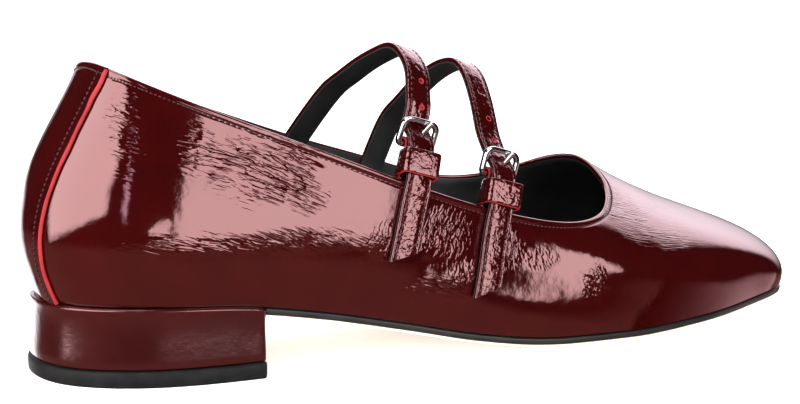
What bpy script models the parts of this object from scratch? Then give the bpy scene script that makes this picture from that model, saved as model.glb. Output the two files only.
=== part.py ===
# Mary jane shoe with two buckled straps, right foot.
# Metres. +X towards the toe, +Y towards the inner side, +Z up.
# The origin is on the floor, in the middle of the heel's ground face.

import math

import bmesh
import bpy
import numpy as np
from mathutils import Matrix, Vector

# Shoe
LENGTH = 0.248
BALL_WIDTH = 0.078
BACK_HEIGHT = 0.085
WALL = 0.0018
GAP = 0.0003

# Sole and heel
SOLE_THICKNESS = 0.0028
HEEL_HEIGHT = 0.0184
HEEL_LENGTH = 0.0575
HEEL_FLARE = 0.0014
HEEL_RIM = 0.0009
LIFT_HEIGHT = 0.0044
LIFT_MARGIN = 0.0004
INSOLE_THICKNESS = 0.0022
INSOLE_CLEARANCE = 0.0006

# Back seam, where the inner panel laps over the outer one
SEAM_STEP = 0.0010
SEAM_FADE = 0.016
SEAM_SLOPE = 0.07

# Straps
STRAP_WIDTH = 0.0078
STRAP_THICKNESS = 0.0018
STRAP_EDGE = 0.0003
STRAP_FIT = 0.0004
BAR_FIT = 0.0008
STRAP_ROOT = 0.012
STRAP_ROOT_TOP = 0.002
STRAP_SPACING = 0.0034
TAIL_RISE = 0.0006
EDGE_DROP = 0.001
TIP_LENGTH = 0.008
TWIST_LENGTH = 0.012
CHAPE_WIDTH = 0.0072
CHAPE_THICKNESS = 0.0009
CHAPE_ROOT = 0.010
CHAPE_SPACING = 0.0013
CHAPE_RISE = (0.3, 0.6, 0.9)
HOLE_DIAMETER = 0.0020
HOLE_PITCH = 0.0080
HOLE_SIDE = 0.0005
SPARE_HOLES = 2

# Buckles and keepers
BUCKLE_WIDTH = 0.0126
BUCKLE_HEIGHT = 0.0092
BUCKLE_WIRE = 0.0018
BUCKLE_CORNER = 0.0024
PIVOT_CORNER = 0.0013
PRONG_WIDTH = 0.0014
PRONG_ROOT_SIDE = 0.0004
PRONG_TIP_SIDE = 0.0020
PRONG_ROOT_DEPTH = 0.0004
PRONG_TIP_REACH = 0.00056
PRONG_REST = 0.00015
PRONG_HOLE_AT = 0.4
SLOT_ENDS = (0.6, 0.1)
KEEPER_WIDTH = 0.0110
KEEPER_HEIGHT = 0.0071
KEEPER_THICKNESS = 0.0010
KEEPER_CORNER = 0.0016
KEEPER_DROP = 0.0026
KEEPER_FIT = 0.0006

# The upper's rows, heel centre to toe centre. Lengths along the shoe are
# shares of LENGTH, widths of BALL_WIDTH and heights of BACK_HEIGHT.
# foot is the edge at the sole and top the edge of the opening. bulge and rise
# shape the wall above the sole, swell and drop below the opening.
ROWS = """
foot_x foot_out foot_in  top_x top_out top_in  out_z   in_z  bulge   rise  swell   drop
 0.020    0.000   0.000  0.075   0.000  0.000  0.995  0.995  0.165  0.295  0.150  0.245
 0.040    0.200   0.210  0.080   0.135  0.125  0.985  0.975  0.140  0.270  0.100  0.255
 0.105    0.335   0.330  0.115   0.240  0.220  0.935  0.935  0.085  0.240  0.075  0.245
 0.195    0.375   0.350  0.200   0.320  0.295  0.830  0.855  0.065  0.210  0.060  0.230
 0.305    0.370   0.325  0.295   0.365  0.335  0.720  0.760  0.075  0.170  0.030  0.205
 0.420    0.380   0.320  0.390   0.395  0.365  0.610  0.665  0.075  0.145  0.005  0.180
 0.530    0.415   0.345  0.485   0.390  0.390  0.510  0.580  0.045  0.140 -0.010  0.170
 0.640    0.445   0.405  0.565   0.380  0.395  0.445  0.510  0.015  0.145  0.025  0.160
 0.740    0.440   0.440  0.630   0.355  0.360  0.415  0.500  0.015  0.155  0.125  0.155
 0.835    0.400   0.400  0.680   0.289  0.300  0.423  0.533  0.030  0.165  0.250  0.160
 0.910    0.325   0.325  0.712   0.187  0.218  0.459  0.569  0.050  0.170  0.345  0.170
 0.970    0.225   0.215  0.730   0.082  0.121  0.500  0.576  0.060  0.170  0.390  0.195
 0.995   -0.040  -0.040  0.735  -0.020 -0.020  0.545  0.545  0.060  0.215  0.415  0.215
"""

# The sole's lower face: share of LENGTH, and height as a share of HEEL_HEIGHT.
SOLE_PROFILE = (
    (0.00, 1.00), (0.12, 0.99), (0.21, 0.92), (0.30, 0.73), (0.40, 0.45), (0.50, 0.16),
    (0.57, 0.03), (0.62, 0.00), (0.70, 0.00), (0.80, 0.08), (0.90, 0.20), (1.00, 0.37),
)

# Each strap: where its middle meets the floor's level, as a share of LENGTH,
# how far it leans to the toe, and how far it turns outwards, in degrees.
# The arch runs from the inner side to the outer side in the strap's own plane:
# shares of BALL_WIDTH across and of BACK_HEIGHT up.
STRAPS = {
    "rear": {
        "place": 0.326, "lean": 16.7, "turn": 11.5,
        "arch": ((0.160, 0.855), (0.090, 0.915), (0.020, 0.960), (-0.050, 1.000),
                 (-0.130, 1.035), (-0.195, 1.050), (-0.265, 1.020), (-0.320, 0.965),
                 (-0.345, 0.905), (-0.365, 0.860)),
        "bar": (-0.395, 0.818), "tilt": 7.0, "buckle_side": 0.0003, "tip": 0.373, "tip_slant": 0.0021,
    },
    "front": {
        "place": 0.448, "lean": 16.4, "turn": 11.4,
        "arch": ((0.275, 0.735), (0.230, 0.795), (0.185, 0.840), (0.140, 0.885),
                 (0.080, 0.930), (0.020, 0.960), (-0.040, 0.975), (-0.110, 0.955),
                 (-0.170, 0.900), (-0.215, 0.845), (-0.250, 0.795), (-0.280, 0.750)),
        "bar": (-0.380, 0.695), "tilt": 3.0, "buckle_side": 0.0003, "tip": 0.225, "tip_slant": 0.0024,
    },
}

# The heel's sides from its lift to the sole: share of its height, and how far
# they stand outside the edge of the sole.
HEEL_SHAPE = (
    (0.00, HEEL_FLARE), (0.30, 0.0008), (0.65, 0.0004), (0.90, HEEL_RIM), (1.00, 0.0005),
)

SAMPLES = 4
WALL_ROWS = 12
FINE_SAMPLES = 24
FINE_ROWS = 120
LEVEL_WINDOW = 0.0007


def read_rows(text):
    lines = [line.split() for line in text.strip().splitlines()]
    values = np.array(lines[1:], float)
    return {name: values[:, k] for k, name in enumerate(lines[0])}


def around(outer, inner):
    """Heel centre, outer side, toe centre, inner side, as one closed ring."""
    return np.concatenate([outer, inner[-2:0:-1]])


def closed_spline(points, samples):
    """A closed curve through the points, smooth to its curvature, and its direction."""
    points = np.asarray(points, float)
    count = len(points)
    identity = np.eye(count)
    matrix = 4 * identity + np.roll(identity, 1, 0) + np.roll(identity, -1, 0)
    slope = np.linalg.solve(matrix, 3 * (np.roll(points, -1, 0) - np.roll(points, 1, 0)))
    t = (np.arange(samples) / samples)[None, :, None]
    start, end = points[:, None], np.roll(points, -1, 0)[:, None]
    slope_start, slope_end = slope[:, None], np.roll(slope, -1, 0)[:, None]
    place = ((2 * t**3 - 3 * t**2 + 1) * start + (t**3 - 2 * t**2 + t) * slope_start
             + (3 * t**2 - 2 * t**3) * end + (t**3 - t**2) * slope_end)
    direction = ((6 * t**2 - 6 * t) * start + (3 * t**2 - 4 * t + 1) * slope_start
                 + (6 * t - 6 * t**2) * end + (3 * t**2 - 2 * t) * slope_end)
    width = points.shape[1]
    return place.reshape(-1, width), direction.reshape(-1, width)


def open_spline(points, spacing):
    """A smooth open curve through the points, sampled about every spacing."""
    points = np.asarray(points, float)
    count = len(points)
    matrix = 4 * np.eye(count) + np.eye(count, k=1) + np.eye(count, k=-1)
    matrix[0, 0] = matrix[-1, -1] = 2
    change = np.empty_like(points)
    change[1:-1] = 3 * (points[2:] - points[:-2])
    change[0] = 3 * (points[1] - points[0])
    change[-1] = 3 * (points[-1] - points[-2])
    slope = np.linalg.solve(matrix, change)
    curve = []
    for k in range(count - 1):
        pieces = max(1, int(round(np.linalg.norm(points[k + 1] - points[k]) / spacing)))
        t = (np.arange(pieces) / pieces)[:, None]
        curve.append((2 * t**3 - 3 * t**2 + 1) * points[k] + (t**3 - 2 * t**2 + t) * slope[k]
                     + (3 * t**2 - 2 * t**3) * points[k + 1] + (t**3 - t**2) * slope[k + 1])
    curve.append(points[-1:])
    return np.vstack(curve)


def along(share):
    return share * LENGTH - HEEL_LENGTH / 2


def sole_bottom(x):
    """Height of the sole's lower face at a distance from the origin."""
    shares, heights = np.array(SOLE_PROFILE).T
    x = np.asarray(x, float)
    slopes = np.gradient(heights, shares)
    slopes[heights == 0] = 0
    share = np.clip((x + HEEL_LENGTH / 2) / LENGTH, 0, 1)
    k = np.clip(np.searchsorted(shares, share) - 1, 0, len(shares) - 2)
    span = shares[k + 1] - shares[k]
    t = (share - shares[k]) / span
    height = ((2 * t**3 - 3 * t**2 + 1) * heights[k] + (t**3 - 2 * t**2 + t) * span * slopes[k]
              + (3 * t**2 - 2 * t**3) * heights[k + 1] + (t**3 - t**2) * span * slopes[k + 1])
    return height * HEEL_HEIGHT


def plan_normal(direction):
    normal = np.column_stack([direction[:, 1], -direction[:, 0]])
    return normal / np.linalg.norm(normal, axis=1)[:, None]


def foot_ring(samples, margin=0.0):
    """The edge of the sole in plan, heel centre first, outer side next."""
    rows = read_rows(ROWS)
    x = around(along(rows["foot_x"]), along(rows["foot_x"]))
    y = around(-rows["foot_out"], rows["foot_in"]) * BALL_WIDTH
    y[len(rows["foot_x"]) - 1] = -rows["foot_out"][-1] * BALL_WIDTH
    ring, direction = closed_spline(np.column_stack([x, y]), samples)
    normal = plan_normal(direction)
    return ring + normal * margin, normal


def top_ring(samples):
    """The edge of the opening, and its outward direction in plan."""
    rows = read_rows(ROWS)
    x = around(along(rows["top_x"]), along(rows["top_x"]))
    y = around(-rows["top_out"], rows["top_in"]) * BALL_WIDTH
    y[len(rows["top_x"]) - 1] = -rows["top_out"][-1] * BALL_WIDTH
    z = around(rows["out_z"], rows["in_z"]) * BACK_HEIGHT
    ring, direction = closed_spline(np.column_stack([x, y, z]), samples)
    return ring, plan_normal(direction)


def upper_surface(samples, wall_rows):
    """The upper's outer face: one curve from the sole to the opening at each place around it."""
    rows = read_rows(ROWS)
    foot, foot_normal = foot_ring(samples)
    top, top_normal = top_ring(samples)
    shape = np.column_stack([around(rows[name], rows[name]) for name in ("bulge", "rise", "swell", "drop")])
    bulge, rise, swell, drop = closed_spline(shape, samples)[0].T
    low = np.column_stack([foot, sole_bottom(foot[:, 0]) + SOLE_THICKNESS + GAP])
    above_low = low + np.column_stack([foot_normal * bulge[:, None] * BALL_WIDTH, rise * BACK_HEIGHT])
    below_top = top + np.column_stack([top_normal * swell[:, None] * BALL_WIDTH, -drop * BACK_HEIGHT])
    t = np.linspace(0, 1, wall_rows)[None, :, None]
    return ((1 - t)**3 * low[:, None] + 3 * (1 - t)**2 * t * above_low[:, None]
            + 3 * (1 - t) * t**2 * below_top[:, None] + t**3 * top[:, None])


def surface_normals(grid):
    """Outward directions of a grid that is closed along its first axis."""
    around_shoe = np.roll(grid, -1, 0) - np.roll(grid, 1, 0)
    upwards = np.gradient(grid, axis=1)
    normal = np.cross(around_shoe, upwards)
    return normal / np.linalg.norm(normal, axis=2)[:, :, None]


def material(name, colour, roughness, metallic=0.0):
    made = bpy.data.materials.new(name)
    made.use_nodes = True
    shader = made.node_tree.nodes["Principled BSDF"]
    shader.inputs["Base Color"].default_value = (*colour, 1)
    shader.inputs["Roughness"].default_value = roughness
    shader.inputs["Metallic"].default_value = metallic
    made.diffuse_color = (*colour, 1)
    return made


def add_object(name, vertices, faces, finish, collection, parent=None):
    mesh = bpy.data.meshes.new(name)
    mesh.from_pydata([tuple(v) for v in vertices], [], faces)
    mesh.update()
    made = bpy.data.objects.new(name, mesh)
    collection.objects.link(made)
    mesh.materials.append(finish)
    made.parent = parent
    return made


def fix_normals(made):
    shape = bmesh.new()
    shape.from_mesh(made.data)
    bmesh.ops.recalc_face_normals(shape, faces=shape.faces)
    shape.to_mesh(made.data)
    shape.free()


def smooth(made, angle=35.0):
    made.data.shade_smooth()
    made.data.set_sharp_from_angle(angle=math.radians(angle))


def solidify(made, thickness, offset):
    shell = made.modifiers.new("Thickness", "SOLIDIFY")
    shell.thickness = thickness
    shell.offset = offset
    shell.use_even_offset = True
    return shell


def bevel(made, width, segments=1, angle=40.0):
    edge = made.modifiers.new("Edge", "BEVEL")
    edge.width = width
    edge.segments = segments
    edge.limit_method = "ANGLE"
    edge.angle_limit = math.radians(angle)
    return edge


def grid_faces(columns, rows, closed):
    """Quads of a grid stored column by column."""
    last = columns if closed else columns - 1
    faces = []
    for k in range(last):
        after = (k + 1) % columns
        for j in range(rows - 1):
            faces.append((k * rows + j, after * rows + j, after * rows + j + 1, k * rows + j + 1))
    return faces


def make_upper(finish, collection):
    grid = upper_surface(SAMPLES, WALL_ROWS)
    normals = surface_normals(grid)
    # The inner panel stands over the outer one at the back seam and fades away from it.
    middle = grid[:, WALL_ROWS // 2]
    distance = np.linalg.norm(middle - middle[0], axis=1)
    inner_side = np.arange(len(grid)) > len(grid) // 2
    raised = np.where(inner_side, np.clip(1 - distance / SEAM_FADE, 0, 1), 0) * SEAM_STEP
    raised_grid = grid + normals * raised[:, None, None]
    # The step itself: the seam's column is doubled, its second copy standing proud beside it.
    beside = grid[0] + (grid[-1] - grid[0]) * SEAM_SLOPE + normals[0] * SEAM_STEP
    columns = np.concatenate([raised_grid, beside[None]])
    made = add_object("upper", columns.reshape(-1, 3), grid_faces(len(columns), WALL_ROWS, True),
                      finish, collection)
    fix_normals(made)
    solidify(made, WALL, -1)
    smooth(made, 50)
    return made


def across_grid(samples, margin, columns, start=None):
    """Points across the sole from outer to inner side, station by station."""
    ring, _ = foot_ring(samples, margin)
    half = len(ring) // 2
    outer = ring[:half + 1]
    inner = np.concatenate([ring[:1], ring[:half - 1:-1]])
    if start is not None:
        keep = outer[:, 0] > start + 0.001
        outer = cut_at(outer, keep, start)
        inner = cut_at(inner, keep, start)
    share = np.linspace(0, 1, columns)[None, :, None]
    return outer[:, None] * (1 - share) + inner[:, None] * share


def cut_at(side, keep, start):
    """Drops what lies behind start and adds a point there."""
    first = int(np.argmax(keep))
    before, after = side[first - 1], side[first]
    t = (start - before[0]) / (after[0] - before[0])
    return np.vstack([before + (after - before) * t, side[first:]])


def plate(name, grid, lower, upper_face, finish, collection):
    """A plate between two heights over a grid of plan points."""
    stations, columns = grid.shape[:2]
    flat = grid.reshape(-1, 2)
    shape = bmesh.new()
    levels = []
    for height in (lower(flat), upper_face(flat)):
        levels.append([shape.verts.new((x, y, z)) for (x, y), z in zip(flat, height)])
    for level, flip in ((levels[0], True), (levels[1], False)):
        for k in range(stations - 1):
            for j in range(columns - 1):
                a = k * columns + j
                corners = [level[a], level[a + columns], level[a + columns + 1], level[a + 1]]
                shape.faces.new(corners[::-1] if flip else corners)
    rim = [k * columns for k in range(stations)]
    rim += [(stations - 1) * columns + j for j in range(1, columns)]
    rim += [k * columns + columns - 1 for k in range(stations - 2, -1, -1)]
    rim += [j for j in range(columns - 2, 0, -1)]
    for a, b in zip(rim, rim[1:] + rim[:1]):
        shape.faces.new((levels[0][a], levels[0][b], levels[1][b], levels[1][a]))
    bmesh.ops.remove_doubles(shape, verts=shape.verts, dist=0.00001)
    bmesh.ops.recalc_face_normals(shape, faces=shape.faces)
    mesh = bpy.data.meshes.new(name)
    shape.to_mesh(mesh)
    shape.free()
    mesh.materials.append(finish)
    made = bpy.data.objects.new(name, mesh)
    collection.objects.link(made)
    return made


def make_outsole(finish, collection):
    grid = across_grid(SAMPLES, 0.0, 5, HEEL_LENGTH / 2 + GAP)
    made = plate("outsole", grid, lambda p: sole_bottom(p[:, 0]),
                 lambda p: sole_bottom(p[:, 0]) + SOLE_THICKNESS, finish, collection)
    bevel(made, 0.0006, 1, 50)
    smooth(made, 40)
    return made


def make_insole(finish, collection):
    inset = WALL + INSOLE_CLEARANCE
    grid = across_grid(3, -inset, 5)
    seat = SOLE_THICKNESS + GAP
    return plate("insole", grid, lambda p: sole_bottom(p[:, 0]) + seat,
                 lambda p: sole_bottom(p[:, 0]) + seat + INSOLE_THICKNESS, finish, collection)


def heel_outline(margin):
    """The heel in plan: round at the back, flat across its front."""
    ring, _ = foot_ring(SAMPLES, margin)
    half = len(ring) // 2
    front = HEEL_LENGTH / 2
    outer = ring[:half + 1]
    inner = np.concatenate([ring[:1], ring[:half - 1:-1]])
    sides = []
    for side in (outer, inner):
        reach = side[:, 0] < front - 0.001
        count = int(np.argmin(reach))
        before, after = side[count - 1], side[count]
        t = (front - before[0]) / (after[0] - before[0])
        sides.append(np.vstack([side[:count], before + (after - before) * t]))
    return np.vstack([sides[0][::-1], sides[1][1:]])


def lofted(name, sections, finish, collection):
    """A closed solid through sections that have the same number of points."""
    count = len(sections[0])
    vertices = np.vstack(sections)
    faces = []
    for s in range(len(sections) - 1):
        for k in range(count):
            after = (k + 1) % count
            faces.append((s * count + k, s * count + after, (s + 1) * count + after, (s + 1) * count + k))
    faces.append(tuple(range(count))[::-1])
    faces.append(tuple((len(sections) - 1) * count + k for k in range(count)))
    made = add_object(name, vertices, faces, finish, collection)
    fix_normals(made)
    return made


def heel_section(margin, height):
    outline = heel_outline(margin)
    return np.column_stack([outline, height(outline[:, 0])])


def make_heel(finish, collection):
    seat = LIFT_HEIGHT + GAP

    def between(share):
        def height(x):
            return seat + (sole_bottom(x) + SOLE_THICKNESS - seat) * share
        return height

    sections = [heel_section(margin, between(share)) for share, margin in HEEL_SHAPE]
    made = lofted("heel_block", sections, finish, collection)
    bevel(made, 0.0005, 1, 50)
    smooth(made, 40)
    return made


def make_lift(finish, collection):
    margin = HEEL_FLARE + LIFT_MARGIN
    sections = [heel_section(margin, lambda x: x * 0), heel_section(margin, lambda x: x * 0 + LIFT_HEIGHT)]
    made = lofted("top_lift", sections, finish, collection)
    bevel(made, 0.0005, 1, 50)
    smooth(made, 40)
    return made


def strap_place(strap, name, collection):
    empty = bpy.data.objects.new(name, None)
    collection.objects.link(empty)
    empty.location = (along(strap["place"]), 0, 0)
    empty.rotation_euler = (0, math.radians(strap["lean"]), math.radians(strap["turn"]))
    return empty


def to_strap(points, strap):
    """World points in the strap's own axes: along its width, across the foot, up its lean."""
    turn = Matrix.Rotation(math.radians(strap["turn"]), 3, "Z")
    lean = Matrix.Rotation(math.radians(strap["lean"]), 3, "Y")
    axes = np.array(turn @ lean)
    return (points - np.array([along(strap["place"]), 0, 0])) @ axes


def wall_faces(strap):
    """The upper's outer and inner face near the strap, in the strap's axes."""
    grid = upper_surface(FINE_SAMPLES, FINE_ROWS)
    normals = surface_normals(grid)
    outer = to_strap(grid.reshape(-1, 3), strap)
    inner = to_strap((grid - normals * WALL).reshape(-1, 3), strap)
    near = np.abs(outer[:, 0]) < STRAP_WIDTH / 2
    return outer[near], inner[near]


def reach(points, side, height, twist):
    """How far the wall goes across at a height on one side of the foot, over the strap's width."""
    level = points[(points[:, 1] * side > 0) & (np.abs(points[:, 2] - height) < LEVEL_WINDOW)]
    return level[:, 1] - level[:, 0] * math.tan(twist)


def edge_near(strap, side):
    """The opening's edge where the strap passes it: its heights, and its turn in plan."""
    ring, _ = top_ring(FINE_SAMPLES)
    edge = to_strap(ring, strap)
    near = edge[(np.abs(edge[:, 0]) < STRAP_WIDTH / 2) & (edge[:, 1] * side > 0)]
    slope = np.polyfit(near[:, 0], near[:, 1], 1)[0]
    return near[:, 2], math.atan(slope)


def unit(vector):
    return vector / np.linalg.norm(vector)


def outward(direction):
    """Square to a downward direction, away from the foot on the outer side."""
    return np.array([direction[1], -direction[0]])


def strap_layout(strap):
    """Where the strap, chape, keeper and buckle lie, as (across, up) points."""
    outer, inner = wall_faces(strap)
    half = STRAP_THICKNESS / 2
    wire = BUCKLE_WIRE / 2
    arch = np.array(strap["arch"]) * (BALL_WIDTH, BACK_HEIGHT)
    bar = np.array(strap["bar"]) * (BALL_WIDTH, BACK_HEIGHT)
    tilt = math.radians(strap["tilt"])
    down = np.array([math.sin(tilt), -math.cos(tilt)])
    out = outward(down)
    pivot = bar + down * (BUCKLE_HEIGHT - BUCKLE_WIRE)
    loop = wire + STRAP_FIT + CHAPE_THICKNESS / 2

    inner_edge, inner_twist = edge_near(strap, 1)
    outer_edge, outer_twist = edge_near(strap, -1)
    root = [(reach(inner, 1, height, inner_twist).min() - STRAP_FIT - half, height)
            for height in np.linspace(inner_edge.min() - STRAP_ROOT, inner_edge.min() - STRAP_ROOT_TOP, 4)]
    tip = strap["tip"] * BACK_HEIGHT
    tail = [(reach(outer, -1, height, outer_twist).min() - STRAP_FIT - half, height)
            for height in np.linspace(outer_edge.max() - EDGE_DROP, tip, 7)]
    tail_top = np.array([tail[0][0], outer_edge.max() + TAIL_RISE])
    under_bar = bar - outward(unit(pivot + out * 2 * loop - arch[-1])) * (wire + BAR_FIT + half)
    lift_off = loop + CHAPE_THICKNESS / 2 + STRAP_FIT + half
    over_pivot = pivot + outward(unit(tail_top - under_bar)) * lift_off
    along_tail = unit(tail_top - over_pivot)
    keeper_top = over_pivot + along_tail * KEEPER_DROP
    in_keeper = [keeper_top + along_tail * KEEPER_HEIGHT * share for share in (0.0, 0.5, 1.0)]
    line = np.vstack([root, arch, under_bar, over_pivot, in_keeper, tail])

    chape_top = outer_edge.min() - EDGE_DROP
    chape = [(reach(inner, -1, height, outer_twist).max() + STRAP_FIT + CHAPE_THICKNESS / 2, height)
             for height in np.linspace(chape_top - CHAPE_ROOT, chape_top, 3)]
    turn = np.radians(np.linspace(0, 180, 9))[:, None]
    hook = pivot + loop * (np.cos(turn) * out - np.sin(turn) * down)
    rise = [chape[-1] + (hook[0] - chape[-1]) * share for share in CHAPE_RISE]
    return {"line": line, "chape": np.vstack([chape, rise, hook]), "bar": bar, "pivot": pivot,
            "out": out, "down": down, "along_tail": along_tail, "keeper_top": keeper_top,
            "inner_twist": inner_twist, "outer_twist": outer_twist}


def twisted(x, across, up, twist):
    """A point of the strap's axes, its width turned about the strap's own upward axis."""
    return x * np.cos(twist), across + x * np.sin(twist), up


def ribbon(name, line, twists, width, thickness, finish, collection, parent, slant=0.0):
    """A leather band along a line in the strap's plane, with rounded edges."""
    direction = unit(line[-1] - line[-2])
    run = np.concatenate([[0], np.cumsum(np.linalg.norm(np.diff(line, axis=0), axis=1))])
    vertices = []
    for (across, up), at, twist in zip(line, run, twists):
        for side in (-1, 0, 1):
            lengthen = -side * slant * np.clip(1 - (run[-1] - at) / TIP_LENGTH, 0, 1)
            vertices.append(twisted(side * width / 2, across + direction[0] * lengthen,
                                    up + direction[1] * lengthen, twist))
    made = add_object(name, vertices, grid_faces(len(line), 3, False), finish, collection, parent)
    fix_normals(made)
    solidify(made, thickness, 0)
    bevel(made, STRAP_EDGE, 1, 60)
    smooth(made, 40)
    return made


def rod(name, points, diameter, finish, collection, parent, closed=False):
    curve = bpy.data.curves.new(name, "CURVE")
    curve.dimensions = "3D"
    curve.bevel_depth = diameter / 2
    curve.bevel_resolution = 2
    curve.use_fill_caps = True
    spline = curve.splines.new("POLY")
    spline.points.add(len(points) - 1)
    for point, place in zip(spline.points, points):
        point.co = (*place, 1)
    spline.use_cyclic_u = closed
    curve.materials.append(finish)
    made = bpy.data.objects.new(name, curve)
    collection.objects.link(made)
    made.parent = parent
    return made


def rounded_rectangle(width, height, upper_radius, lower_radius, corner_points=5):
    """Points around a rounded rectangle, centred on zero."""
    points = []
    for quarter in range(4):
        radius = (upper_radius, upper_radius, lower_radius, lower_radius)[quarter]
        centre_x = (width / 2 - radius) * (1, -1, -1, 1)[quarter]
        centre_y = (height / 2 - radius) * (1, 1, -1, -1)[quarter]
        for step in range(corner_points):
            angle = math.radians(90 * (quarter + step / (corner_points - 1)))
            points.append((centre_x + radius * math.cos(angle), centre_y + radius * math.sin(angle)))
    return points


def make_buckle(name, layout, side_shift, finish, collection, parent):
    height = BUCKLE_HEIGHT - BUCKLE_WIRE
    centre = (layout["bar"] + layout["pivot"]) / 2
    outline = rounded_rectangle(BUCKLE_WIDTH - BUCKLE_WIRE, height, BUCKLE_CORNER, PIVOT_CORNER)
    points = [twisted(x + side_shift, *(centre - layout["down"] * y), layout["outer_twist"])
              for x, y in outline]
    return rod(name, points, BUCKLE_WIRE, finish, collection, parent, True)


def prong_line(layout, side_shift):
    """The prong's middle line: from beside the pivot, through the strap, onto the top bar."""
    stand_off = BUCKLE_WIRE / 2 + STRAP_FIT + PRONG_WIDTH / 2
    root = layout["pivot"] - layout["down"] * stand_off - layout["out"] * PRONG_ROOT_DEPTH
    tip = layout["bar"] + layout["out"] * (stand_off + PRONG_REST) - layout["down"] * PRONG_TIP_REACH
    share = np.linspace(0, 1, 5)[:, None]
    line = root + (tip - root) * share
    x = PRONG_ROOT_SIDE + (PRONG_TIP_SIDE - PRONG_ROOT_SIDE) * share[:, 0] + side_shift
    return np.column_stack(twisted(x, line[:, 0], line[:, 1], layout["outer_twist"]))


def keeper_depths(layout):
    """How far the keeper reaches inwards round the chape, at its top and at its end."""
    along_tail = layout["along_tail"]
    apart = layout["chape"] - layout["keeper_top"]
    below = apart @ along_tail
    inwards = -(apart @ outward(along_tail))
    rising = np.argsort(below[:np.argmin(below)])
    at = np.interp((0, KEEPER_HEIGHT), below[rising], inwards[rising])
    return at + CHAPE_THICKNESS / 2 + STRAP_FIT


def make_keeper(name, layout, side_shift, finish, collection, parent):
    """A leather loop round the strap's end and the chape."""
    face = STRAP_THICKNESS / 2 + KEEPER_FIT
    depths = keeper_depths(layout)
    vertices = []
    for level, grow in ((0, 0), (1, 0), (1, 1), (0, 1)):
        depth = face + depths[level]
        radius = KEEPER_CORNER + (grow - 1) * KEEPER_THICKNESS
        outline = rounded_rectangle(KEEPER_WIDTH + 2 * (grow - 1) * KEEPER_THICKNESS,
                                    depth + 2 * grow * KEEPER_THICKNESS, radius, radius)
        vertices += [(x, y + face - depth / 2, level * KEEPER_HEIGHT) for x, y in outline]
    count = len(vertices) // 4
    faces = [(s * count + k, s * count + (k + 1) % count, (s + 1) % 4 * count + (k + 1) % count,
              (s + 1) % 4 * count + k) for s in range(4) for k in range(count)]
    made = add_object(name, vertices, faces, finish, collection, parent)
    fix_normals(made)
    along_tail = layout["along_tail"]
    made.location = twisted(side_shift, *layout["keeper_top"], layout["outer_twist"])
    made.rotation_euler = (math.atan2(-along_tail[0], along_tail[1]), 0, layout["outer_twist"])
    return made


def hole_cutter(name, start, end, diameter, cutters, parent):
    """A cylinder from one point to another, for a hole."""
    start, end = np.asarray(start, float), np.asarray(end, float)
    shape = bmesh.new()
    bmesh.ops.create_cone(shape, cap_ends=True, segments=12, radius1=diameter / 2, radius2=diameter / 2,
                          depth=float(np.linalg.norm(end - start)))
    mesh = bpy.data.meshes.new(name)
    shape.to_mesh(mesh)
    shape.free()
    made = bpy.data.objects.new(name, mesh)
    cutters.objects.link(made)
    made.hide_render = True
    made.display_type = "WIRE"
    made.parent = parent
    made.location = (start + end) / 2
    made.rotation_euler = Vector(end - start).to_track_quat("Z", "Y").to_euler()
    return made


def cut(made, cutter):
    hole = made.modifiers.new("Hole", "BOOLEAN")
    hole.operation = "DIFFERENCE"
    hole.solver = "EXACT"
    hole.object = cutter


def make_strap_set(side, strap, finishes, collection, cutters):
    place = strap_place(strap, side + "_strap_place", collection)
    layout = strap_layout(strap)
    shift = strap["buckle_side"]
    line = open_spline(layout["line"], STRAP_SPACING)
    # The strap's width turns to the outer wall's direction just above the buckle.
    above_bar = np.where(line[:, 0] > 0, TWIST_LENGTH, line[:, 1] - layout["bar"][1])
    share = 1 - np.clip(above_bar / TWIST_LENGTH, 0, 1)
    twists = layout["inner_twist"] + (layout["outer_twist"] - layout["inner_twist"]) * share
    leather = ribbon(side + "_strap", line, twists, STRAP_WIDTH, STRAP_THICKNESS, finishes["patent"],
                     collection, place, strap["tip_slant"])
    chape_line = open_spline(layout["chape"], CHAPE_SPACING)
    chape = ribbon(side + "_chape", chape_line, np.full(len(chape_line), layout["outer_twist"]),
                   CHAPE_WIDTH, CHAPE_THICKNESS, finishes["patent"], collection, place)
    make_buckle(side + "_buckle", layout, shift, finishes["metal"], collection, place)
    prong = prong_line(layout, shift)
    rod(side + "_prong", prong, PRONG_WIDTH, finishes["metal"], collection, place)
    make_keeper(side + "_keeper", layout, shift, finishes["patent"], collection, place)

    step = prong[-1] - prong[0]
    slot = hole_cutter(side + "_prong_cutter", prong[0] - step * SLOT_ENDS[0],
                       prong[-1] + step * SLOT_ENDS[1], PRONG_WIDTH + 2 * GAP, cutters, place)
    cut(leather, slot)
    cut(chape, slot)
    # The spare holes lie on the strap's middle line, counted upwards from the prong.
    middle = prong[0, 1:] + step[1:] * PRONG_HOLE_AT
    steps = np.linalg.norm(np.diff(line, axis=0), axis=1)
    run = np.concatenate([[0], np.cumsum(steps)])
    at_prong = run[np.argmin(np.linalg.norm(line - middle, axis=1))]
    for number in range(1, SPARE_HOLES + 1):
        k = int(np.argmin(np.abs(run - (at_prong - number * HOLE_PITCH))))
        through = np.array([0, *outward(unit(line[k + 1] - line[k - 1]))]) * STRAP_THICKNESS
        middle = np.array(twisted(HOLE_SIDE, *line[k], twists[k]))
        cutter = hole_cutter(f"{side}_hole_cutter_{number}", middle - through, middle + through,
                             HOLE_DIAMETER, cutters, place)
        cut(leather, cutter)


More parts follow.
